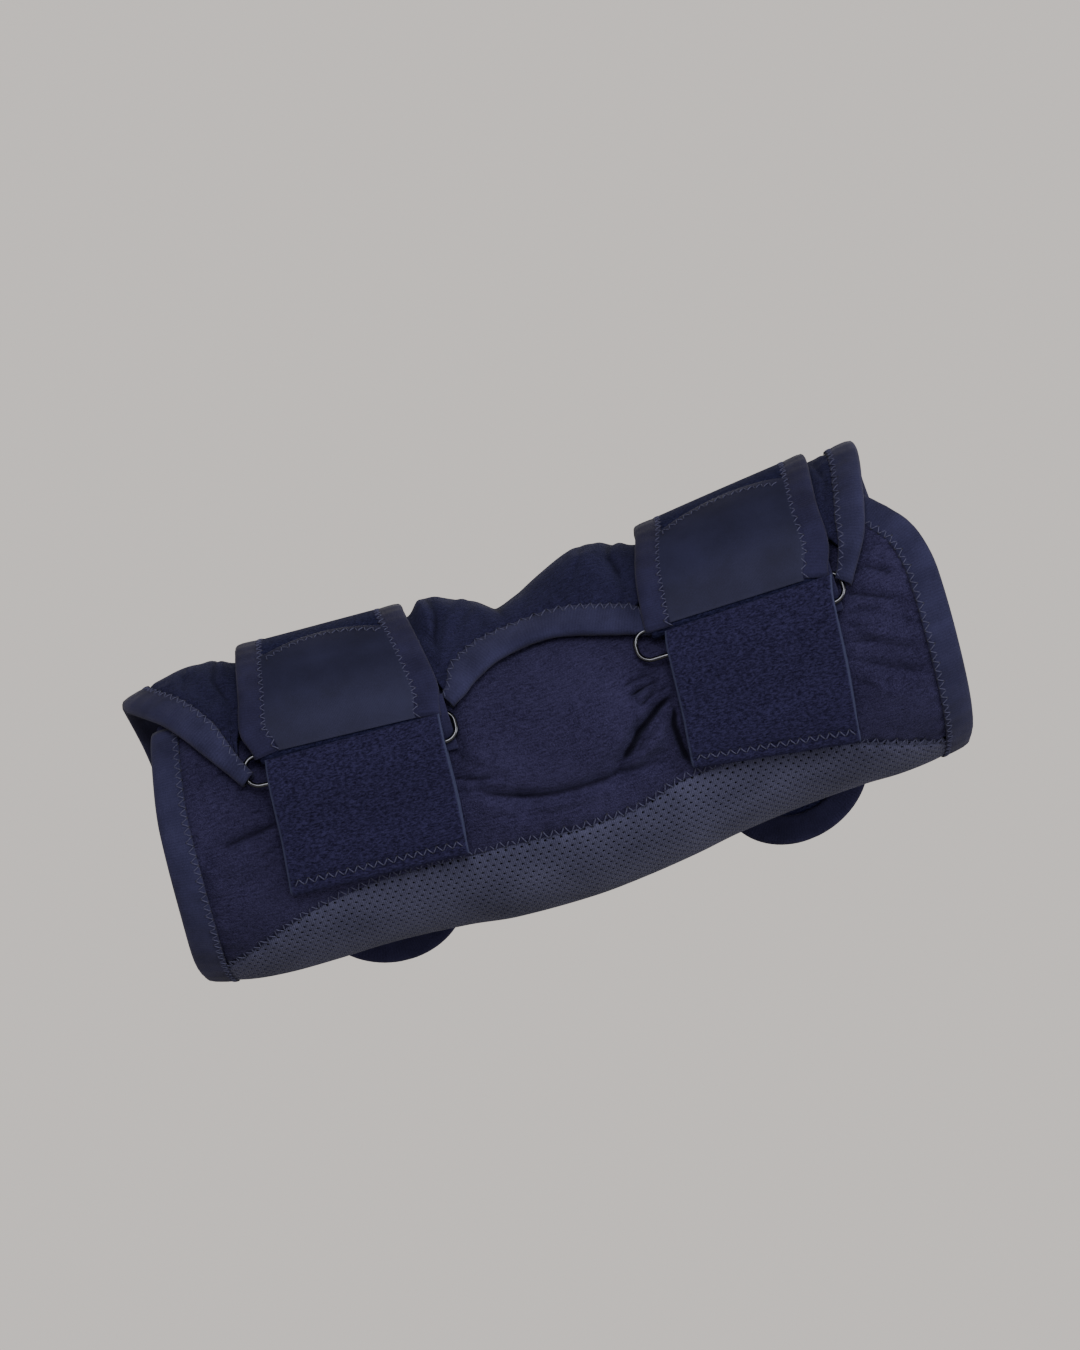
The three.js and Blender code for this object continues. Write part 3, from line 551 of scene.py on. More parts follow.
def creases(lines, x, angle):
    """Depth of the sharp creases in mm: each is a valley between two low ridges."""
    total = np.zeros(np.broadcast(x, angle).shape)
    for depth, width, line in lines:
        line = np.array(line, float) * [1, ARC]
        runs = runs_along(line)
        nearest, share = np.full(total.shape, np.inf), np.zeros(total.shape)
        for k in range(len(line) - 1):
            t, away = beside_line(x, angle * ARC, line[k], line[k + 1])
            share = np.where(away < nearest, mix(runs[k], runs[k + 1], t) / runs[-1], share)
            nearest = np.minimum(nearest, away)
        fade = smooth(-0.02, 0.2, share) * (1 - smooth(0.75, 1.02, share))
        valley = np.exp(-(nearest / width) ** 1.4)
        ridge = 0.4 * np.exp(-((nearest - 2.3 * width) / (1.3 * width)) ** 2)
        total += depth * mix(0.25, 1, fade) * (valley - ridge)
    return total


def on_form(x, angle, height):
    along = x / LENGTH
    top, under = read(SECTIONS, 1, along) * HEIGHT, read(SECTIONS, 2, along) * HEIGHT
    side, a = read(SECTIONS, 3, along) * WIDTH, np.radians(angle)
    return np.stack(np.broadcast_arrays(
        x,
        -(side + height) * np.cos(a),
        (top + under) / 2 + ((top - under) / 2 + height) * np.sin(a),
    ), axis=-1)


def on_cloth(x, angle, height):
    return on_form(x, angle, height + relief(x, angle))


def far_lift(angle):
    """The far panel lies on the near panel, and sinks to the form beyond the top."""
    return LIFT * (1 - smooth(NEAR_TOP + 6, SUNK_AT, angle))


def on_far_cloth(x, angle, height):
    return on_cloth(x, angle, height + far_lift(angle))


def seam_angle(x):
    return read(SEAM, 1, x / LENGTH)


def scallop_angle(x):
    return read(SCALLOP, 1, x / LENGTH)


# %% [markdown]
# ## Meshes from grids
# Cloth is a grid of points: columns along the form, rows round it. `cloth_wall` closes an outer and
# an inner grid into one solid, and keeps each point's place on the flat cloth in an attribute, `lay`,
# so that weave and ribs follow the piece. `soft_edge` makes the wall thin out at its rim, as a cut
# or folded edge does.

# %% Mesh helpers
MM = 0.001


def store(mesh, name, kind, values):
    """Keeps a number or a vector with each point of a mesh."""
    kept = mesh.attributes.new(name, kind, "POINT")
    label = "value" if kind == "FLOAT" else "vector"
    kept.data.foreach_set(label, np.asarray(values, dtype=np.float32).ravel())


def smooth_shaded(mesh):
    mesh.polygons.foreach_set("use_smooth", np.ones(len(mesh.polygons), dtype=bool))


def new_piece(name, points, faces, material, lay=None):
    """A mesh object from points in mm, smooth shaded."""
    mesh = bpy.data.meshes.new(name)
    mesh.from_pydata((np.asarray(points).reshape(-1, 3) * MM).tolist(), [], faces)
    smooth_shaded(mesh)
    if lay is not None:
        store(mesh, "lay", "FLOAT_VECTOR", lay)
    mesh.materials.append(material)
    mesh.validate()
    return in_scene(name, mesh)


def quads(a, b, c, d):
    return np.stack([a.ravel(), b.ravel(), c.ravel(), d.ravel()], axis=1).tolist()


def cloth_wall(name, outer, inner, lay, material, mark=None):
    """One closed wall between two grids of points, with its outer face outwards.

    A mark is a number for each place, such as a crease's depth, that the material reads."""
    columns, rows = outer.shape[:2]
    out = np.arange(columns * rows).reshape(columns, rows)
    into = out + columns * rows
    faces = quads(out[:-1, :-1], out[1:, :-1], out[1:, 1:], out[:-1, 1:])
    faces += quads(into[:-1, :-1], into[:-1, 1:], into[1:, 1:], into[1:, :-1])
    faces += quads(into[:-1, 0], into[1:, 0], out[1:, 0], out[:-1, 0])
    faces += quads(out[:-1, -1], out[1:, -1], into[1:, -1], into[:-1, -1])
    faces += quads(out[0, :-1], out[0, 1:], into[0, 1:], into[0, :-1])
    faces += quads(into[-1, :-1], into[-1, 1:], out[-1, 1:], out[-1, :-1])
    piece = new_piece(name, np.concatenate([outer.reshape(-1, 3), inner.reshape(-1, 3)]), faces,
                      material, np.concatenate([lay.reshape(-1, 3)] * 2))
    if mark is not None:
        store(piece.data, "mark", "FLOAT", [mark, mark])
    return piece


def soft_edge(away, radius):
    """Share of the full thickness at a distance from the rim."""
    t = np.clip(1 - away / radius, 0, 0.985)
    return np.sqrt(1 - t * t)


def shares(count, length, radius):
    """Shares from 0 to 1, closer together within a radius of both ends of a length."""
    near = np.array([0, 0.05, 0.15, 0.3, 0.5, 0.75]) * radius / length
    middle = np.linspace(radius / length, 1 - radius / length, count)
    return np.concatenate([near, middle, 1 - near[::-1]])


def grid(columns, rows):
    """Shares from 0 to 1 along and round, for each column and row."""
    return np.meshgrid(np.linspace(0, 1, columns), np.linspace(0, 1, rows), indexing="ij")


def flat_lay(across, along):
    return np.stack(np.broadcast_arrays(across, along, 0.0), axis=-1)


def settle(ends, across, angle, angle_at):
    """Where a panel's columns meet its rows, found in small steps."""
    for _ in range(30):
        x = mix(read(ends, 1, angle) * LENGTH, read(ends, 2, angle) * LENGTH, across)
        angle = mix(angle, angle_at(x), 0.3)
    return x, angle


def ride(piece, node=None):
    """Every piece is on the one body, and hides the solid that it replaces, if one is named."""
    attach(piece, "root")
    if node:
        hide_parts(node)
    return piece


# %% [markdown]
# ## The padded panels
# Foam between two cloths swells between its seams and is drawn down where a tape or a seam is
# stitched through it. So each panel's outer face dips along its edges, with small puckers, and is
# full in the middle. A little unevenness keeps the light on it lively, as used foam does.

# %% Panels


def unevenness(x, arc):
    """Slow waves of a few tenths of a millimetre."""
    return (0.16 * np.sin(x / 9.1 + 1.3 * np.sin(arc / 13.0))
            + 0.13 * np.sin(arc / 7.3 + 1.7 * np.sin(x / 17.0))
            + 0.07 * np.sin(x / 3.9 + arc / 5.1))


def drawn_down(away, along, line, depth, reach):
    """Dip along a stitch line, with puckers of a stitch or two in length beside it."""
    dip = -depth * np.exp(-((away - line) / reach) ** 2)
    pucker = 0.22 * np.sin(along * 2 * np.pi / 6.4 + 0.8 * np.sin(along / 11))
    return dip + pucker * np.exp(-((away - line - 2.2) / 3.2) ** 2)


SEAM_LAP = 1.3  # degrees by which the padded panels lie over the perforated one
STITCH_IN = BINDING - 0.5  # mm from an edge to the middle of its stitches
FAR_SHIFT = 31  # mm by which the far panel's unevenness is shifted against the near one's


def panel(far_side):
    """The near panel, or the far one, with its folds, dips and creases."""
    if far_side:
        name, ends, lines, place, cloth = "far", FAR_ENDS, FAR_CREASES, on_far_cloth, shaded_far_cloth
        (i, j), first, last = grid(300, 150), 40, 215
    else:
        name, ends, lines, place, cloth = "near", NEAR_ENDS, NEAR_CREASES, on_cloth, near_cloth
        (i, j), first, last = grid(330, 130), -45, NEAR_TOP

    def rows_at(x):
        """From the arch to the far seam, or from the near seam to the top."""
        if far_side:
            return mix(scallop_angle(x), 180 + SEAM_LAP - seam_angle(x), j)
        return mix(seam_angle(x) - SEAM_LAP, NEAR_TOP, j)

    x, angle = settle(ends, i, mix(first, last, j), rows_at)
    arc = angle * ARC
    end = np.minimum(x - read(ends, 1, angle) * LENGTH, read(ends, 2, angle) * LENGTH - x)
    seam = ((180 - angle if far_side else angle) - seam_angle(x)) * ARC
    swell = drawn_down(end, arc, STITCH_IN, 0.75, 1.7) + drawn_down(seam, x, -0.6, 0.8, 1.8)
    if far_side:
        swell += drawn_down((angle - scallop_angle(x)) * ARC, x, STITCH_IN, 0.7, 1.7)
    swell += (0.3 if far_side else 0.35) * smooth(4, 16, end) * smooth(3, 14, seam)
    loose = 1 - pressed(x, angle)
    swell = (swell + unevenness(x + FAR_SHIFT * far_side, arc)) * mix(0.3, 1, loose)
    crease = creases(lines, x, angle) * smooth(2, 7, end)
    crease = np.maximum(crease, loose * crease)  # only the ridges beside a crease are pressed flat
    outer = place(x, angle, OUTER + swell - crease)
    inner = place(x, angle, INNER - np.maximum(0, crease - 1.2))
    return cloth_wall(name + "_panel_cloth", outer, inner, flat_lay(x, arc), cloth, crease)


near = ride(panel(far_side=False), "near_panel")
far = ride(panel(far_side=True), "far_panel")
for piece in (near, far):
    print(piece.name, len(piece.data.polygons), "faces")

# %% [markdown]
# ## The perforated panel
# The underside is a firm knit, punched with small holes on a hexagon grid, 2.4 mm apart. One cell
# of it, a hexagon round a hole, is repeated by Geometry Nodes over a flat sheet, which is then
# laid on the form by moving its points. The holes go through the skin down to a backing whose very
# dark colour is painted shade in the holes.

# %% Backing
UNDER_START, UNDER_STOP = NEAR_ENDS[0, 1:] * LENGTH


def elbow_edges(x):
    seam = seam_angle(x)
    return -180 - seam, seam


def elbow_pad():
    i, j = grid(130, 50)
    x = mix(UNDER_START, UNDER_STOP, i)
    low, high = elbow_edges(x)
    angle = mix(low + 0.3, high - 0.3, j)
    seam = np.minimum(angle - low, high - angle) * ARC
    dip = drawn_down(seam, x, 0, 1.1, 1.6)
    outer = on_cloth(x, angle, OUTER - 0.75 + dip)
    inner = on_cloth(x, angle, INNER + 0 * x)
    # the outer face shows through the holes: its very dark colour is painted shade
    piece = cloth_wall("elbow_pad", outer, inner, flat_lay(x, angle * ARC), hole_shade_backing)
    piece.data.materials.append(near_cloth)
    face_count = (i.shape[0] - 1) * (i.shape[1] - 1)
    for face in piece.data.polygons[face_count:2 * face_count]:  # the inner face is lined
        face.material_index = 1
    return piece


pad = ride(elbow_pad(), "mesh_panel")

# %% Perforated skin, flat
HOLE_PITCH, HOLE_RADIUS = 2.4, 0.42
BEVEL, BEVEL_DEPTH, SKIN = 0.16, 0.14, 0.55  # the hole's soft rim, and the knit's thickness


def new_tree(name, sizes):
    """An empty geometry node tree with named inputs."""
    tree = bpy.data.node_groups.new(name, "GeometryNodeTree")
    tree.interface.new_socket("Geometry", in_out="OUTPUT", socket_type="NodeSocketGeometry")
    tree.interface.new_socket("Geometry", in_out="INPUT", socket_type="NodeSocketGeometry")
    for label, (kind, value) in sizes.items():
        made = tree.interface.new_socket(label, in_out="INPUT", socket_type=kind)
        if value is not None:
            made.default_value = value
    return tree


def add(tree, kind, settings=None, **inputs):
    """A geometry node, with its settings, and its inputs as values or as sockets."""
    made = tree.nodes.new(kind)
    for key, value in (settings or {}).items():
        setattr(made, key, value)
    for key, value in inputs.items():
        socket = made.inputs[int(key[1:])] if key[0] == "i" and key[1:].isdigit() else \
            made.inputs[key.replace("_", " ")]
        if isinstance(value, bpy.types.NodeSocket):
            tree.links.new(value, socket)
        else:
            socket.default_value = value
    return made


def run_tree(name, tree, start, values):
    """Runs a tree on an object and returns the result as a plain mesh object."""
    modifier = start.modifiers.new(name, "NODES")
    modifier.node_group = tree
    names = {item.name: item.identifier for item in tree.interface.items_tree
             if item.item_type == "SOCKET" and item.in_out == "INPUT"}
    for label, value in values.items():
        modifier[names[label]] = value
    graph = bpy.context.evaluated_depsgraph_get()
    mesh = bpy.data.meshes.new_from_object(start.evaluated_get(graph))
    start.modifiers.remove(modifier)
    bpy.data.objects.remove(start)
    mesh.name = name
    return in_scene(name, mesh)


def painted_result(tree, geometry, material):
    """The last two nodes: the geometry gets its material and goes out."""
    painted = add(tree, "GeometryNodeSetMaterial", Geometry=geometry, Material=material)
    tree.links.new(painted.outputs[0], tree.nodes.new("NodeGroupOutput").inputs[0])
    return tree


def perforated_cell():
    """A hexagon with a hexagonal hole: six quads on each face, on the bevel and in the hole."""
    turns = np.radians(np.arange(6) * 60 + 30)
    ring = np.stack([np.cos(turns), np.sin(turns)], axis=1)
    rim, hole = ring * HOLE_PITCH / np.sqrt(3), ring * HOLE_RADIUS
    loops = [(0, rim), (0, ring * (HOLE_RADIUS + BEVEL)), (-BEVEL_DEPTH, hole), (-SKIN, hole),
             (-SKIN, rim)]
    points = [(px, py, height) for height, loop in loops for px, py in loop]
    corners = np.arange(len(points)).reshape(len(loops), 6)
    after = np.roll(corners, -1, axis=1)
    faces = quads(corners[:-1], after[:-1], after[1:], corners[1:])
    return new_piece("cell", points, faces, elbow_cloth)


def perforation_tree():
    """Copies of one cell at the mesh's points, joined where they meet."""
    tree = new_tree("perforation", {
        "Cell": ("NodeSocketObject", None), "Weld": ("NodeSocketFloat", 1e-5),
        "Cloth": ("NodeSocketMaterial", None),
    })
    given = tree.nodes.new("NodeGroupInput").outputs
    cell = add(tree, "GeometryNodeObjectInfo", i0=given["Cell"])
    copies = add(tree, "GeometryNodeInstanceOnPoints", Points=given["Geometry"],
                 Instance=cell.outputs["Geometry"])
    real = add(tree, "GeometryNodeRealizeInstances", Geometry=copies.outputs[0])
    welded = add(tree, "GeometryNodeMergeByDistance", Geometry=real.outputs[0],
                 Distance=given["Weld"])
    return painted_result(tree, welded.outputs[0], given["Cloth"])


def skin_points():
    """Middles of the cells, on the flat: mm along the form and mm round it."""
    row_step = HOLE_PITCH * np.sqrt(3) / 2
    points = []
    for row, arc in enumerate(np.arange(-150 * ARC, -30 * ARC, row_step)):
        first = -LENGTH / 2 - 4 + (row % 2) * HOLE_PITCH / 2
        for x in np.arange(first, LENGTH / 2, HOLE_PITCH):
            low, high = elbow_edges(x)
            room = min(arc / ARC - low, high - arc / ARC) * ARC
            if room > -0.4 and UNDER_START + 2 < x < UNDER_STOP - 2:
                points.append((x, arc, 0))
    return points


cell = perforated_cell()
centres = new_piece("centres", skin_points(), [], elbow_cloth)
print("holes:", len(centres.data.vertices))
skin = run_tree("elbow_skin", perforation_tree(), centres, {"Cell": cell, "Cloth": elbow_cloth})
bpy.data.objects.remove(cell)

# %% [markdown]
# The flat skin's points are now laid on the form. Near the seams it dips as the stitching draws
# it down, and its own points keep where they lay on the flat for the knit pattern.

# %% Perforated skin, laid on the form


def lay_skin(piece):
    mesh = piece.data
    flat = np.empty(len(mesh.vertices) * 3)
    mesh.vertices.foreach_get("co", flat)
    flat = flat.reshape(-1, 3) / MM
    x, angle = flat[:, 0], flat[:, 1] / ARC
    low, high = elbow_edges(x)
    seam = np.minimum(angle - low, high - angle) * ARC
    dip = drawn_down(seam, x, 0, 1.2, 1.8)
    placed = on_cloth(x, angle, OUTER + 0.05 + flat[:, 2] + dip)
    mesh.vertices.foreach_set("co", (placed * MM).ravel())
    store(mesh, "lay", "FLOAT_VECTOR", flat_lay(x, flat[:, 1]))
    mesh.update()


lay_skin(skin)
ride(skin)
print("skin faces:", len(skin.data.polygons))

# %% [markdown]
# ## Folded tapes
# A tape is folded over a raw edge and stitched through both leaves. Its section is drawn once: a
# round fold outside the edge, and two leaves that come to rest on the cloth, where the stitches
# pull them down. It is swept along the edge, which is a line of places on the cloth.

# %% Tape section and sweep
AIR, PLY_AIR = 0.12, 0.05  # mm by which a leaf's outer and inner faces are raised from a tight fit
PULL = 0.5  # mm by which the stitches pull the outer leaf's edge down
STATION, SIDE_STEP = 1.6, 0.9  # mm between two sections, and between two of a section's points
RIPPLE, RIPPLE_PITCH = 0.1, 6.1  # mm


def tape_section(inner, outer):
    """The section as (share of the width, mm further in, height), from outer leaf to inner leaf."""
    middle, half = (outer + inner) / 2, (outer - inner) / 2
    bend = np.linspace(0, np.pi, 7)[1:-1]
    leaf = [1, 0.93, 0.8, 0.55, 0.3, 0.1]
    thick = {s: TAPE * soft_edge((1 - s) * 7, 0.4) for s in leaf}
    fold = [(0, -(RIM_GAP + TAPE * 0.9) * np.sin(a), middle + (half + AIR + TAPE) * np.cos(a))
            for a in bend]
    rows = [(s, 0, outer + AIR + thick[s] - PULL * s ** 3) for s in leaf] + fold
    rows += [(s, 0, inner - AIR - thick[s]) for s in leaf[::-1]]
    rows += [(s - 0.004, 0, inner - PLY_AIR) for s in leaf]
    rows += [(0, -0.45 * RIM_GAP * np.sin(a), middle + (half + PLY_AIR) * np.cos(a))
             for a in bend[::-1]]
    rows += [(s - 0.004, 0, outer + PLY_AIR - PULL * s ** 3) for s in leaf[::-1]]
    return np.array(rows)


def evenly(points, step):
    """A line of places, every step mm along a polyline."""
    points = np.asarray(points, float)
    runs = runs_along(points)
    wanted = np.linspace(0, runs[-1], int(np.ceil(runs[-1] / step)) + 1)
    return np.stack([np.interp(wanted, runs, points[:, k]) for k in (0, 1)], axis=1), wanted


def inwards(edge):
    """Unit vectors to the left of a line of places, which is the cloth's side."""
    run = np.gradient(edge, axis=0)
    run = np.stack([np.convolve(np.pad(run[:, k], 2, "edge"), np.ones(5) / 5, "valid")
                    for k in (0, 1)], axis=1)
    run /= np.linalg.norm(run, axis=1, keepdims=True)
    return np.stack([-run[:, 1], run[:, 0]], axis=1)


def folded_tape(name, edge, width, inner, outer, place, material):
    """Sweeps the section along an edge. Returns the piece and its length in mm."""
    edge, along = evenly(edge, STATION)
    wide = width(along, along[-1])
    into = inwards(edge)
    section = tape_section(inner, outer)
    depth = section[:, 0][None, :] * wide[:, None] + section[:, 1][None, :]
    height = section[:, 2][None, :] + 0 * depth
    on_top = (section[:, 2] > (inner + outer) / 2)[None, :]
    height = height + RIPPLE * np.sin(along * 2 * np.pi / RIPPLE_PITCH)[:, None] * on_top
    x = edge[:, :1] + into[:, :1] * depth
    y = edge[:, 1:] + into[:, 1:] * depth
    points = place(x, y, height)
    stations, sides = depth.shape
    index = np.arange(stations * sides).reshape(stations, sides)
    after = np.roll(index, -1, axis=1)
    faces = quads(index[:-1], after[:-1], after[1:], index[1:])
    faces.append(index[0][::-1].tolist())
    faces.append(index[-1].tolist())
    lay = flat_lay(np.arange(sides)[None, :] * SIDE_STEP + 0 * depth, along[:, None])
    return new_piece(name, points, faces, material, lay), along[-1]


# %% [markdown]
# ## Zigzag stitches
# Thread runs in a zigzag along the inner edge of every tape. The script works out where the needle
# goes in, as an edge between two points with the way outwards kept beside it. Geometry Nodes turn
# each edge into a short arched thread, so its thickness and rise are two numbers.

# %% Thread tree


def thread_tree():
    tree = new_tree("zigzag_thread", {
        "Thread radius": ("NodeSocketFloat", 0.0002), "Rise": ("NodeSocketFloat", 0.0003),
        "Thread": ("NodeSocketMaterial", None),
    })
    given = tree.nodes.new("NodeGroupInput").outputs
    line = add(tree, "GeometryNodeMeshToCurve", Mesh=given["Geometry"])
    fine = add(tree, "GeometryNodeResampleCurve", Curve=line.outputs[0], Count=7)
    share = add(tree, "GeometryNodeSplineParameter").outputs["Factor"]

    def maths(operation, first, second):
        return add(tree, "ShaderNodeMath", {"operation": operation}, i0=first, i1=second).outputs[0]

    arch = maths("MULTIPLY", share, maths("SUBTRACT", 1.0, share))
    sunk = maths("SUBTRACT", maths("MULTIPLY", arch, 6.0), 0.7)  # the ends lie below the cloth
    rise = maths("MULTIPLY", sunk, given["Rise"])
    out = add(tree, "GeometryNodeInputNamedAttribute", {"data_type": "FLOAT_VECTOR"}, Name="out")
    move = add(tree, "ShaderNodeVectorMath", {"operation": "SCALE"}, i0=out.outputs[0],
               Scale=rise)
    marked = add(tree, "GeometryNodeStoreNamedAttribute", Geometry=fine.outputs[0], Name="mark",
                 Value=arch)
    bent = add(tree, "GeometryNodeSetPosition", Geometry=marked.outputs[0],
               Offset=move.outputs[0])
    circle = add(tree, "GeometryNodeCurvePrimitiveCircle", Resolution=6,
                 Radius=given["Thread radius"])
    tube = add(tree, "GeometryNodeCurveToMesh", Curve=bent.outputs[0],
               Profile_Curve=circle.outputs[0], Fill_Caps=True)
    real = add(tree, "GeometryNodeRealizeInstances", Geometry=tube.outputs[0])
    return painted_result(tree, real.outputs[0], given["Thread"])


ZIGZAG = thread_tree()


def stitches(name, needle, radius=0.17, rise=0.18):
    """Thread along a list of needle holes, each (point, way out), in mm."""
    points, ways = (np.array(column) for column in zip(*needle))
    count = len(points) - 1
    ends = np.concatenate([points[:-1], points[1:]]) * MM
    mesh = bpy.data.meshes.new(name)
    mesh.from_pydata(ends.tolist(), [(k, k + count) for k in range(count)], [])
    store(mesh, "out", "FLOAT_VECTOR", np.concatenate([ways[:-1], ways[1:]]))
    values = {"Thread radius": radius * MM, "Rise": rise * MM, "Thread": slate_thread}
    piece = run_tree(name, ZIGZAG, in_scene(name + "_line", mesh), values)
    smooth_shaded(piece.data)
    return ride(piece)


def inside_edge(width, by):
    """The line that many mm inside a tape's inner edge."""
    return lambda along, total: width(along, total) - by


def on_line(along, total):
    """The line itself."""
    return 0


def needle_holes(edge, depth, wide, pitch, place, height):
    """Zigzag along a line of places: depth mm in from it, wide mm across."""
    edge, along = evenly(edge, pitch / 2)
    into = inwards(edge)
    side = np.where(np.arange(len(edge)) % 2, 0.5, -0.5) * wide + depth(along, along[-1])
    x, y = edge[:, 0] + into[:, 0] * side, edge[:, 1] + into[:, 1] * side
    point, above = place(x, y, height + 0 * x), place(x, y, height + 1 + 0 * x)
    return list(zip(point, above - point))


# %% [markdown]
# ## Bindings
# One tape follows each end of the brace: it runs down the near edge, past the underside, up the far
# side and along the tongue to the ring. A third one follows the arch between the rings.

# %% Bindings


def end_edge(column, sign):
    """Places along an end, in mm: the near edge, the underside, the far edge and the tongue."""
    angles = np.arange(NEAR_TOP - 8, -82, -3.0)
    places = [(read(NEAR_ENDS, column, a) * LENGTH, a * ARC) for a in angles]
    angles = np.concatenate([np.arange(262, 92, -5.0), np.arange(92, 19, -2.0)])
    places += [(read(FAR_ENDS, column, a) * LENGTH, (a - 360) * ARC) for a in angles]
    (x0, arc0), (x1, arc1) = places[-2:]
    places += [(x1 + (x1 - x0) * k, arc1 + (arc1 - arc0) * k) for k in (1, 2, 2.6)]
    return places[::-1] if sign > 0 else places


def on_both(x, arc, height):
    """Places on the near and the far cloth, with the far side's angles below zero."""
    angle = arc / ARC
    turned = np.where(angle < -98, angle + 360, angle)
    beyond = (turned > 98) | (angle < -98)
    return np.where(beyond[..., None], on_far_cloth(x, turned, height),
                    on_cloth(x, angle, height))


def end_width(sign):
    def width(along, total):
        from_ring = along / total if sign > 0 else 1 - along / total
        return BINDING * mix(0.5, 1, smooth(0, 0.06, from_ring))
    return width


def bind(name, edge, width, place):
    """A folded tape with its stitches along one of the panels' edges."""
    piece, run = folded_tape(name + "_tape", edge, width, INNER, OUTER, place, slate_tape)
    ride(piece, name)
    holes = needle_holes(edge, inside_edge(width, 1.1), wide=2.3, pitch=3.1, place=place,
                         height=OUTER + 0.45)
    thread = stitches(name + "_stitches", holes)
    print(name, "is", round(run), "mm long, with", len(holes), "needle holes")


for name, column, sign in (("forearm_binding", 1, -1), ("upper_arm_binding", 2, 1)):
    bind(name, end_edge(column, sign), end_width(sign), on_both)


def on_far_arc(x, arc, height):
    return on_far_cloth(x, arc / ARC, height)


def crook_width(along, total):
    share = np.minimum(along, total - along) / total
    return BINDING * mix(0.45, 1, smooth(0, 0.15, share))


# Where the arch's tape goes on under the rings: mm along and the angle
ARCH_LEFT, ARCH_RIGHT = [(-29.4, 24.3)], [(27, 30.6), (31, 28.4), (37, 27)]
arch = [(x * LENGTH, scallop_angle(x * LENGTH)) for x in np.arange(-.112, .1, .004)]
arch_edge = [(x, angle * ARC) for x, angle in ARCH_LEFT + arch + ARCH_RIGHT]
bind("crook_binding", arch_edge, crook_width, on_far_arc)

# %% [markdown]
# The seam between the padded panels and the perforated one is sewn flat, with a wide zigzag that
# catches both. It runs along both sides of that panel.

# %% Seam stitches


def on_arc(x, arc, height):
    return on_cloth(x, arc / ARC, height)


for name, turned in (("near_seam_stitches", False), ("far_seam_stitches", True)):
    along = np.linspace(-.488, .455, 240) * LENGTH
    places = [(x, (180 - seam_angle(x) if turned else seam_angle(x)) * ARC) for x in along]
    holes = needle_holes(places, on_line, wide=3.0, pitch=3.3,
                         place=on_far_arc if turned else on_arc, height=OUTER - 0.35)
    stitches(name, holes, radius=0.2, rise=0.3)
    print(name, len(holes))

# %% [markdown]
# ## Rings
# Each ring is a bent wire with straight sides and round corners. It stays straight while the cloth
# curves, so its place is worked out from its own frame: middle, long side, up and out.

# %% Ring frames and wires


def unit(v):
    return v / np.linalg.norm(v)


class RingFrame:
    """Where a ring lies: its middle, and its long, upward and outward directions."""

    def __init__(self, closure):
        self.half = RING_HEIGHT / 2 - WIRE
        half_angle = self.half / ARC
        (x0, x1), (a0, a1) = closure["ring"], closure["lower"]
        left = on_form(x0 * LENGTH, a0 + half_angle, RING_SEAT)
        far_end = on_form(x1 * LENGTH, a1 + half_angle, RING_SEAT)
        self.middle = (left + far_end) / 2
        self.long = unit(far_end - left)
        angle = (a0 + a1) / 2 + half_angle
        rise = (on_form(self.middle[0], angle + 2, RING_SEAT)
                - on_form(self.middle[0], angle - 2, RING_SEAT))
        self.out = unit(np.cross(self.long, rise))
        self.up = unit(np.cross(self.out, self.long))

    def beside(self, wire, x, up, out):
        """Point beside the upper (1) or lower (-1) wire at x."""
        start = self.middle + wire * self.half * self.up
        return start + (x - start[0]) / self.long[0] * self.long + up * self.up + out * self.out


SHOWN_WIRE = 0.7  # the bare wire; the solid's is as thick as the wire and its clear room


def wire_ring(closure, frame_of):
    corner, sides, round_wire = 10, 16, RING_CORNER - SHOWN_WIRE
    centre_x, centre_y = RING_LENGTH / 2 - RING_CORNER, RING_HEIGHT / 2 - RING_CORNER
    loop = []
    for quarter in range(4):
        sx, sy = (1, -1, -1, 1)[quarter], (1, 1, -1, -1)[quarter]
        for k in range(corner + 1):
            a = (quarter + k / corner) * np.pi / 2
            loop.append((sx * centre_x, sy * centre_y, a))
    points = []
    for cx, cy, a in loop:
        for b in np.arange(sides) * 2 * np.pi / sides:
            reach = round_wire + SHOWN_WIRE * np.cos(b)
            points.append(frame_of.middle + (cx + reach * np.cos(a)) * frame_of.long
                          + (cy + reach * np.sin(a)) * frame_of.up
                          - SHOWN_WIRE * np.sin(b) * frame_of.out)
    index = np.arange(len(points)).reshape(len(loop), sides)
    after, beside = np.roll(index, -1, axis=0), np.roll(index, -1, axis=1)
    faces = quads(index, beside, np.roll(after, -1, axis=1), after)
    return new_piece(closure["name"] + "_ring_wire", points, faces, wire_finish)


RING_FRAMES = {c["name"]: RingFrame(c) for c in CLOSURES}
for closure in CLOSURES:
    ring = wire_ring(closure, RING_FRAMES[closure["name"]])
    ride(ring, closure["name"] + "_ring")
    print(ring.name, RING_LENGTH, "by", RING_HEIGHT, "mm")

# %% [markdown]
# ## Bands
# A band is folded round the upper wire, runs over the top and hangs down the far side to a round
# end. Its route is a smooth line through chosen points. The band is drawn straight across between
# a left and a right line, as firm webbing lies.

# %% Ribbon routes


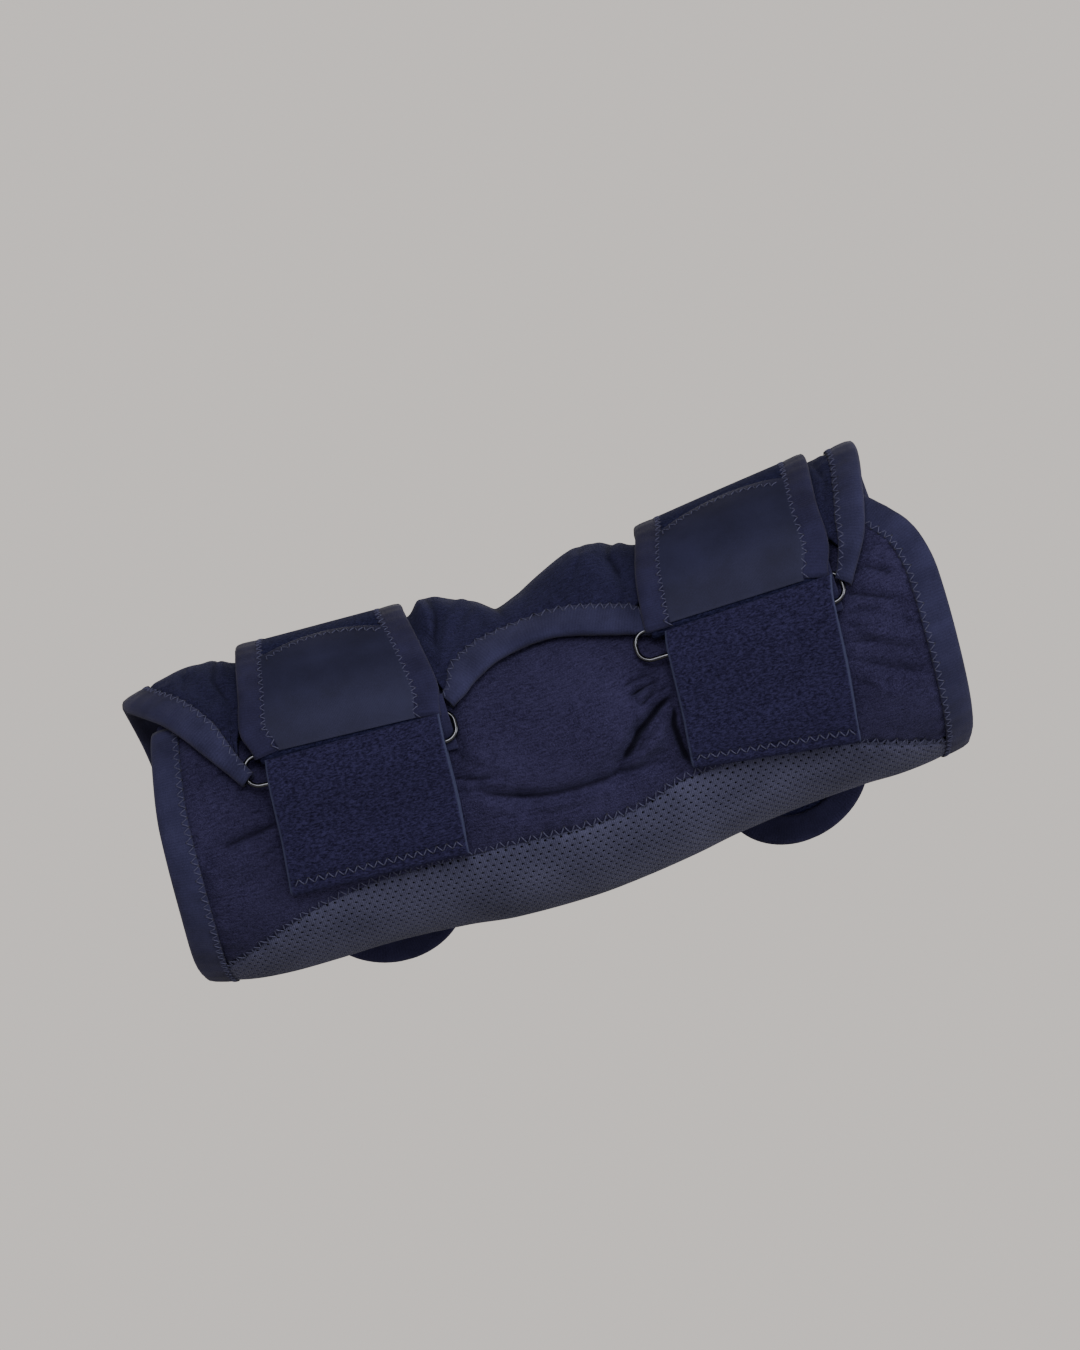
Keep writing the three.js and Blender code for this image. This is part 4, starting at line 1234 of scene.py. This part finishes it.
class Ribbon:
    """A strip between two lines. A place on it is (x, mm along the route, height)."""

    def __init__(self, left_points, right_points, left, far_right):
        self.left, self.width = left, far_right - left
        self.sides = [np.array(left_points), np.array(right_points)]
        middle = (self.sides[0] + self.sides[1]) / 2
        self.knots = runs_along(middle)
        self.length = self.knots[-1]

    def centre(self, x, s):
        t = (x - self.left) / self.width
        parts = []
        for k in (1, 2):
            rows = [np.stack([self.knots, side[:, k]], axis=1) for side in self.sides]
            parts.append(mix(read(rows[0], 1, s), read(rows[1], 1, s), t))
        return np.stack([x, *parts], axis=-1)

    def place(self, x, s, height):
        x, s, height = np.broadcast_arrays(x, s, height)
        on_route, step = np.clip(s, 0, self.length), 0.2
        run = self.centre(x, np.minimum(self.length, on_route + step)) \
            - self.centre(x, np.maximum(0, on_route - step))
        run /= np.linalg.norm(run, axis=-1, keepdims=True)
        out = np.cross(np.array([1.0, 0, 0]), run)
        out /= np.linalg.norm(out, axis=-1, keepdims=True)
        return self.centre(x, on_route) + run * (s - on_route)[..., None] + out * height[..., None]


def half_turn(radius, start, stop, steps=6):
    turns = np.radians(np.linspace(start, stop, steps + 1))
    return [(radius * np.sin(a), radius * np.cos(a)) for a in turns]


CLIMB = np.arange(38, 176.1, 11.5)  # the angles of a band's route over the top
END_TURN = np.radians(86)  # how far the round end is drawn from its side to its tip
PATCH_BOW = 7  # mm by which the middle of a patch's top edge stands above its corners


class Band(Ribbon):
    def __init__(self, closure):
        frame_of = RING_FRAMES[closure["name"]]
        radius = WIRE + GAP + STRAP / 2
        loop = half_turn(radius, 180, 360)

        def points_at(x):
            points = [frame_of.beside(1, x, STRAP_TAIL, -radius)]
            points += [frame_of.beside(1, x, u, o) for u, o in loop]
            points += [on_form(x, a, OUTER + far_lift(a) + STRAP_SEAT) for a in CLIMB]
            last = on_form(x, 180, OUTER + STRAP_SEAT)
            points += [last - [0, 0, closure["drop"] * HEIGHT * k] for k in (.1, .4, .7, 1)]
            return points

        left, far_right = (share * LENGTH for share in closure["ring"])
        super().__init__(points_at(left), points_at(far_right), left, far_right)
        angles = [30, *[22] * len(loop), *CLIMB, 190, 200, 210, 220]
        self.angles = np.stack([self.knots, angles], axis=1)
        self.edges = closure["strap"]
        self.seam = self.length - STRAP_END
        self.over_wire, self.loop_end, self.climb = self.knots[6:9]
        self.patch_stop = self.climb + (closure["patch_top"] - CLIMB[0]) * ARC

    def edge(self, s, column):
        angle = read(self.angles, 1, np.clip(s, 0, self.length))
        bare = read(self.edges, column, angle) * LENGTH
        centre = (read(self.edges, 1, angle) + read(self.edges, 2, angle)) / 2 * LENGTH
        into = np.clip((s - self.seam) / STRAP_END, 0, 1)
        return mix(centre, bare, np.sqrt(1 - into ** 2.2))


BANDS = {c["name"]: Band(c) for c in CLOSURES}

# %% Bands, their tapes and their smooth patches


def band_cloth_piece(closure, band):
    loop = np.linspace(0, band.loop_end, 40)
    body = np.linspace(band.loop_end, band.seam, 150)[1:]
    end = band.seam + STRAP_END * np.sin(np.linspace(0, END_TURN, 26))[1:]
    s = np.concatenate([loop, body, end])[None, :]
    share = shares(26, 50, 1.0)[:, None]
    left, far_right = band.edge(s, 1), band.edge(s, 2)
    x = mix(left, far_right, share)
    away = np.minimum(share, 1 - share) * (far_right - left)
    half = STRAP / 2 * soft_edge(np.minimum(away, band.length - s + 0.4), 0.8)
    ripple = 0.12 * np.sin(s / 6.7 + x / 15) * smooth(band.climb, band.climb + 15, s)
    patch_end = band.patch_stop - PATCH_BOW
    nap = 0.6 * smooth(STRAP_TAPE - 3, STRAP_TAPE, away) * smooth(patch_end, patch_end + 8, s) \
        * smooth(0, STRAP_TAPE, band.length - s)
    outer, inner = band.place(x, s, ripple + half + nap), band.place(x, s, ripple - half)
    return cloth_wall(closure["name"] + "_band", outer, inner, flat_lay(x, s), band_cloth)


def band_edge(band):
    """Places along one edge, round the end and back along the other, in order."""
    round_end = band.seam + STRAP_END * np.sin(np.linspace(np.radians(2), END_TURN, 24))
    s = np.concatenate([np.linspace(band.over_wire, band.seam, 90), round_end])
    left = [(band.edge(k, 1), k) for k in s]
    back = [(band.edge(k, 2), k) for k in s]
    return (left + back[::-1])[::-1]


def band_width(along, total):
    share = np.minimum(along, total - along) / total
    return STRAP_TAPE * mix(0.93, 1, smooth(0, 0.03, share))


def patch_piece(closure, band):
    start, stop = band.over_wire + 0.6, band.patch_stop
    share, up_it = shares(40, 42, 0.8)[:, None], shares(50, 36, 0.8)[None, :]
    across = share * 2 - 1
    top = stop - PATCH_BOW * across ** 2
    s = mix(start, top, up_it)
    left = band.edge(s, 1) + STRAP_TAPE - 1.2
    far_right = band.edge(s, 2) - STRAP_TAPE + 1.2
    x = mix(left, far_right, share)
    away = np.minimum(share, 1 - share) * (far_right - left)
    rim = soft_edge(np.minimum(away, top - s), 0.8)
    crown = 0.45 * (1 - across ** 2) * np.sin(np.pi * np.clip(up_it, 0, 1)) ** 0.6
    base = STRAP / 2 + 0.1
    outer = band.place(x, s, base + PATCH * rim + crown)
    inner = band.place(x, s, base - 0.05 + 0 * x)
    piece = cloth_wall(closure["name"] + "_patch", outer, inner, flat_lay(x, s), smooth_cloth)
    line = []
    for a in np.linspace(-0.93, 0.93, 40):
        row = stop - 3 - PATCH_BOW * a * a
        ends = band.edge(row - 6, 1) + STRAP_TAPE, band.edge(row - 6, 2) - STRAP_TAPE
        line.append((mix(*ends, (a + 1) / 2), row))
    return piece, line


for closure in CLOSURES:
    name, band = closure["name"], BANDS[closure["name"]]
    cloth = ride(band_cloth_piece(closure, band), name + "_strap")
    wide = float((closure["strap"][3, 2] - closure["strap"][3, 1]) * LENGTH)
    tape, run = folded_tape(name + "_band_tape", band_edge(band), band_width, -STRAP / 2,
                            STRAP / 2, band.place, strap_edge)
    ride(tape, name + "_strap_tape")
    holes = needle_holes(band_edge(band), inside_edge(band_width, 1.0), wide=2.3, pitch=3.0,
                         place=band.place, height=STRAP / 2 + 0.5)
    thread = stitches(name + "_band_stitches", holes)
    patch, line = patch_piece(closure, band)
    ride(patch, name + "_strap_patch")
    holes = needle_holes(line, on_line, wide=2.2, pitch=2.8, place=band.place,
                         height=STRAP / 2 + 0.1 + PATCH + 0.15)
    thread = stitches(name + "_patch_stitches", holes)
    print(name, "band:", round(band.length), "mm long,", round(wide), "mm wide")

# %% [markdown]
# ## Keepers
# A short ribbon comes from under the tongue's tape, over the upper wire and down through the right
# end of each ring, where it is sewn to the panel. It stops the ring from turning.

# %% Keepers
KEEPER, KEEPER_THICK, KEEPER_IN = 4.2, 0.7, 1.4  # width, thickness, mm in from the ring's end


class Keeper(Ribbon):
    def __init__(self, closure):
        frame_of = RING_FRAMES[closure["name"]]
        right = closure["ring"][1] * LENGTH - KEEPER_IN
        # Upper or lower wire, mm up from it, mm out from it
        route = [(1, 5, 1.7), (1, 2.6, 1.9), (1, 0.6, 1.6), (1, -1.5, 1.1), (1, -3.4, 0.7),
                 (-1, 3.2, 0.3), (-1, 1.6, -0.7), (-1, 0, -1.5), (-1, -2.5, -2.3)]

        def points_at(x):
            return [frame_of.beside(wire, x, up, out) for wire, up, out in route]

        super().__init__(points_at(right - KEEPER), points_at(right), right - KEEPER, right)


def keeper_piece(closure, keeper):
    s = np.linspace(0, keeper.length, 36)[None, :]
    share = shares(4, KEEPER, 0.4)[:, None]
    x = keeper.left + KEEPER * share + 0 * s
    half = KEEPER_THICK / 2 * soft_edge(np.minimum(share, 1 - share) * KEEPER, 0.35)
    outer, inner = keeper.place(x, s, half + 0 * x), keeper.place(x, s, -half + 0 * x)
    return cloth_wall(closure["name"] + "_keeper", outer, inner, flat_lay(x, s), strap_edge)


for closure in CLOSURES:
    keeper = Keeper(closure)
    piece = ride(keeper_piece(closure, keeper))
    print(piece.name, round(keeper.length, 1), "mm long")

# %% [markdown]
# ## Tabs
# A tab is a strip of dense pile turned round the lower wire. Its inner ply is sewn to the panel at
# the bottom fold, and its outer ply comes back up over the ring and presses on the band. The rim is
# rounded, and the pile stands a little uneven.

# %% Tabs


class Tab(Ribbon):
    def __init__(self, closure):
        frame_of = RING_FRAMES[closure["name"]]
        radius = WIRE + GAP + TAB / 2
        inner, outer = OUTER + GAP + TAB / 2, OUTER + 2 * GAP + 1.5 * TAB
        self.top, self.bottom = closure["tab_top"], closure["tab_bottom"]
        clear = radius + TAB + GAP

        def points_at(x):
            share = (x / LENGTH - self.bottom[0]) / (self.bottom[1] - self.bottom[0])
            high = mix(self.top[2], self.top[3], share)
            low = mix(self.bottom[2], self.bottom[3], share)
            points = [frame_of.beside(-1, x, -TAB_TAIL, radius)]
            points += [frame_of.beside(-1, x, u, o) for u, o in half_turn(radius, 0, 180)]
            points += [on_form(x, mix(5, low, t), inner) for t in (.35, .7, 1)]
            points.append(on_form(x, low - FOLD_REACH, (inner + outer) / 2))
            points += [on_form(x, mix(low, 8, t), outer) for t in (0, .3, .55)]
            points.append(frame_of.beside(-1, x, -TAB_TAIL, clear))
            points.append(frame_of.beside(-1, x, 1.5, clear))
            reach = (high - mix(*closure["lower"], share)) * ARC
            points.append(frame_of.beside(-1, x, reach, clear - 0.3))
            return points

        left, far_right = self.bottom[0] * LENGTH, self.top[1] * LENGTH
        super().__init__(points_at(left), points_at(far_right), left, far_right)
        low = self.bottom[2]
        heights = [8, 10, 11, 12, 13, 13, 12, 11, 0, -12, low, low, low, -15, -6, 7, 13,
                   self.top[2]]
        self.angles = np.stack([self.knots, heights], axis=1)
        self.fold, self.front = self.knots[11:13]
        self.stitch_row = self.front + 3

    def edge(self, s, column):
        t = (read(self.angles, 1, np.clip(s, 0, self.length)) - self.bottom[2]) \
            / (self.top[2] - self.bottom[2])
        return mix(self.bottom[column - 1], self.top[column - 1], t) * LENGTH


def tab_piece(closure, tab):
    s = shares(190, tab.length, 1.0)[None, :] * tab.length
    share = shares(70, 52, 1.0)[:, None]
    left, far_right = tab.edge(s, 1), tab.edge(s, 2)
    x = mix(left, far_right, share)
    away = np.minimum(np.minimum(share, 1 - share) * (far_right - left),
                      np.minimum(s, tab.length - s))
    half = TAB / 2 * soft_edge(away, 1.0)
    uneven = 0.1 * np.sin(x / 2.3 + 2 * np.sin(s / 5)) + 0.1 * np.sin(s / 1.9 + 2 * np.sin(x / 7))
    front = smooth(tab.fold, tab.front, s)
    groove = -0.5 * np.exp(-((s - tab.stitch_row) / 1.3) ** 2)
    outer = tab.place(x, s, half * (1 + 0.35 * front) + front * (uneven * 0.7 + groove))
    inner = tab.place(x, s, -half)
    side = np.minimum(share, 1 - share) * (far_right - left)
    edge_thread = 1 - smooth(0.25, 0.75, side)
    return cloth_wall(closure["name"] + "_tab_pile", outer, inner, flat_lay(x, s), tab_pile,
                      edge_thread)


for closure in CLOSURES:
    name, tab = closure["name"], Tab(closure)
    piece = ride(tab_piece(closure, tab), name + "_tab")
    row = tab.stitch_row
    line = [(mix(tab.edge(row, 1), tab.edge(row, 2), t), row) for t in np.linspace(.03, .97, 60)]
    holes = needle_holes(line, on_line, wide=2.0, pitch=3.0, place=tab.place,
                         height=TAB / 2 + 0.25)
    thread = stitches(name + "_tab_stitches", holes, radius=0.18)
    print(name, "tab strip:", round(tab.length), "mm long")

# %% [markdown]
# ## Floor
# The brace hangs in the air, so the pale floor lies well below it.

# %% Floor
bpy.ops.mesh.primitive_circle_add(vertices=96, radius=3, fill_type="NGON", location=(0, 0, -0.8))
floor = bpy.context.object
floor.name = "floor"
floor_finish = Finish("floor_finish", Roughness=0.9, Base_Color=(0.55, 0.54, 0.52, 1))
floor.data.materials.append(floor_finish.material)
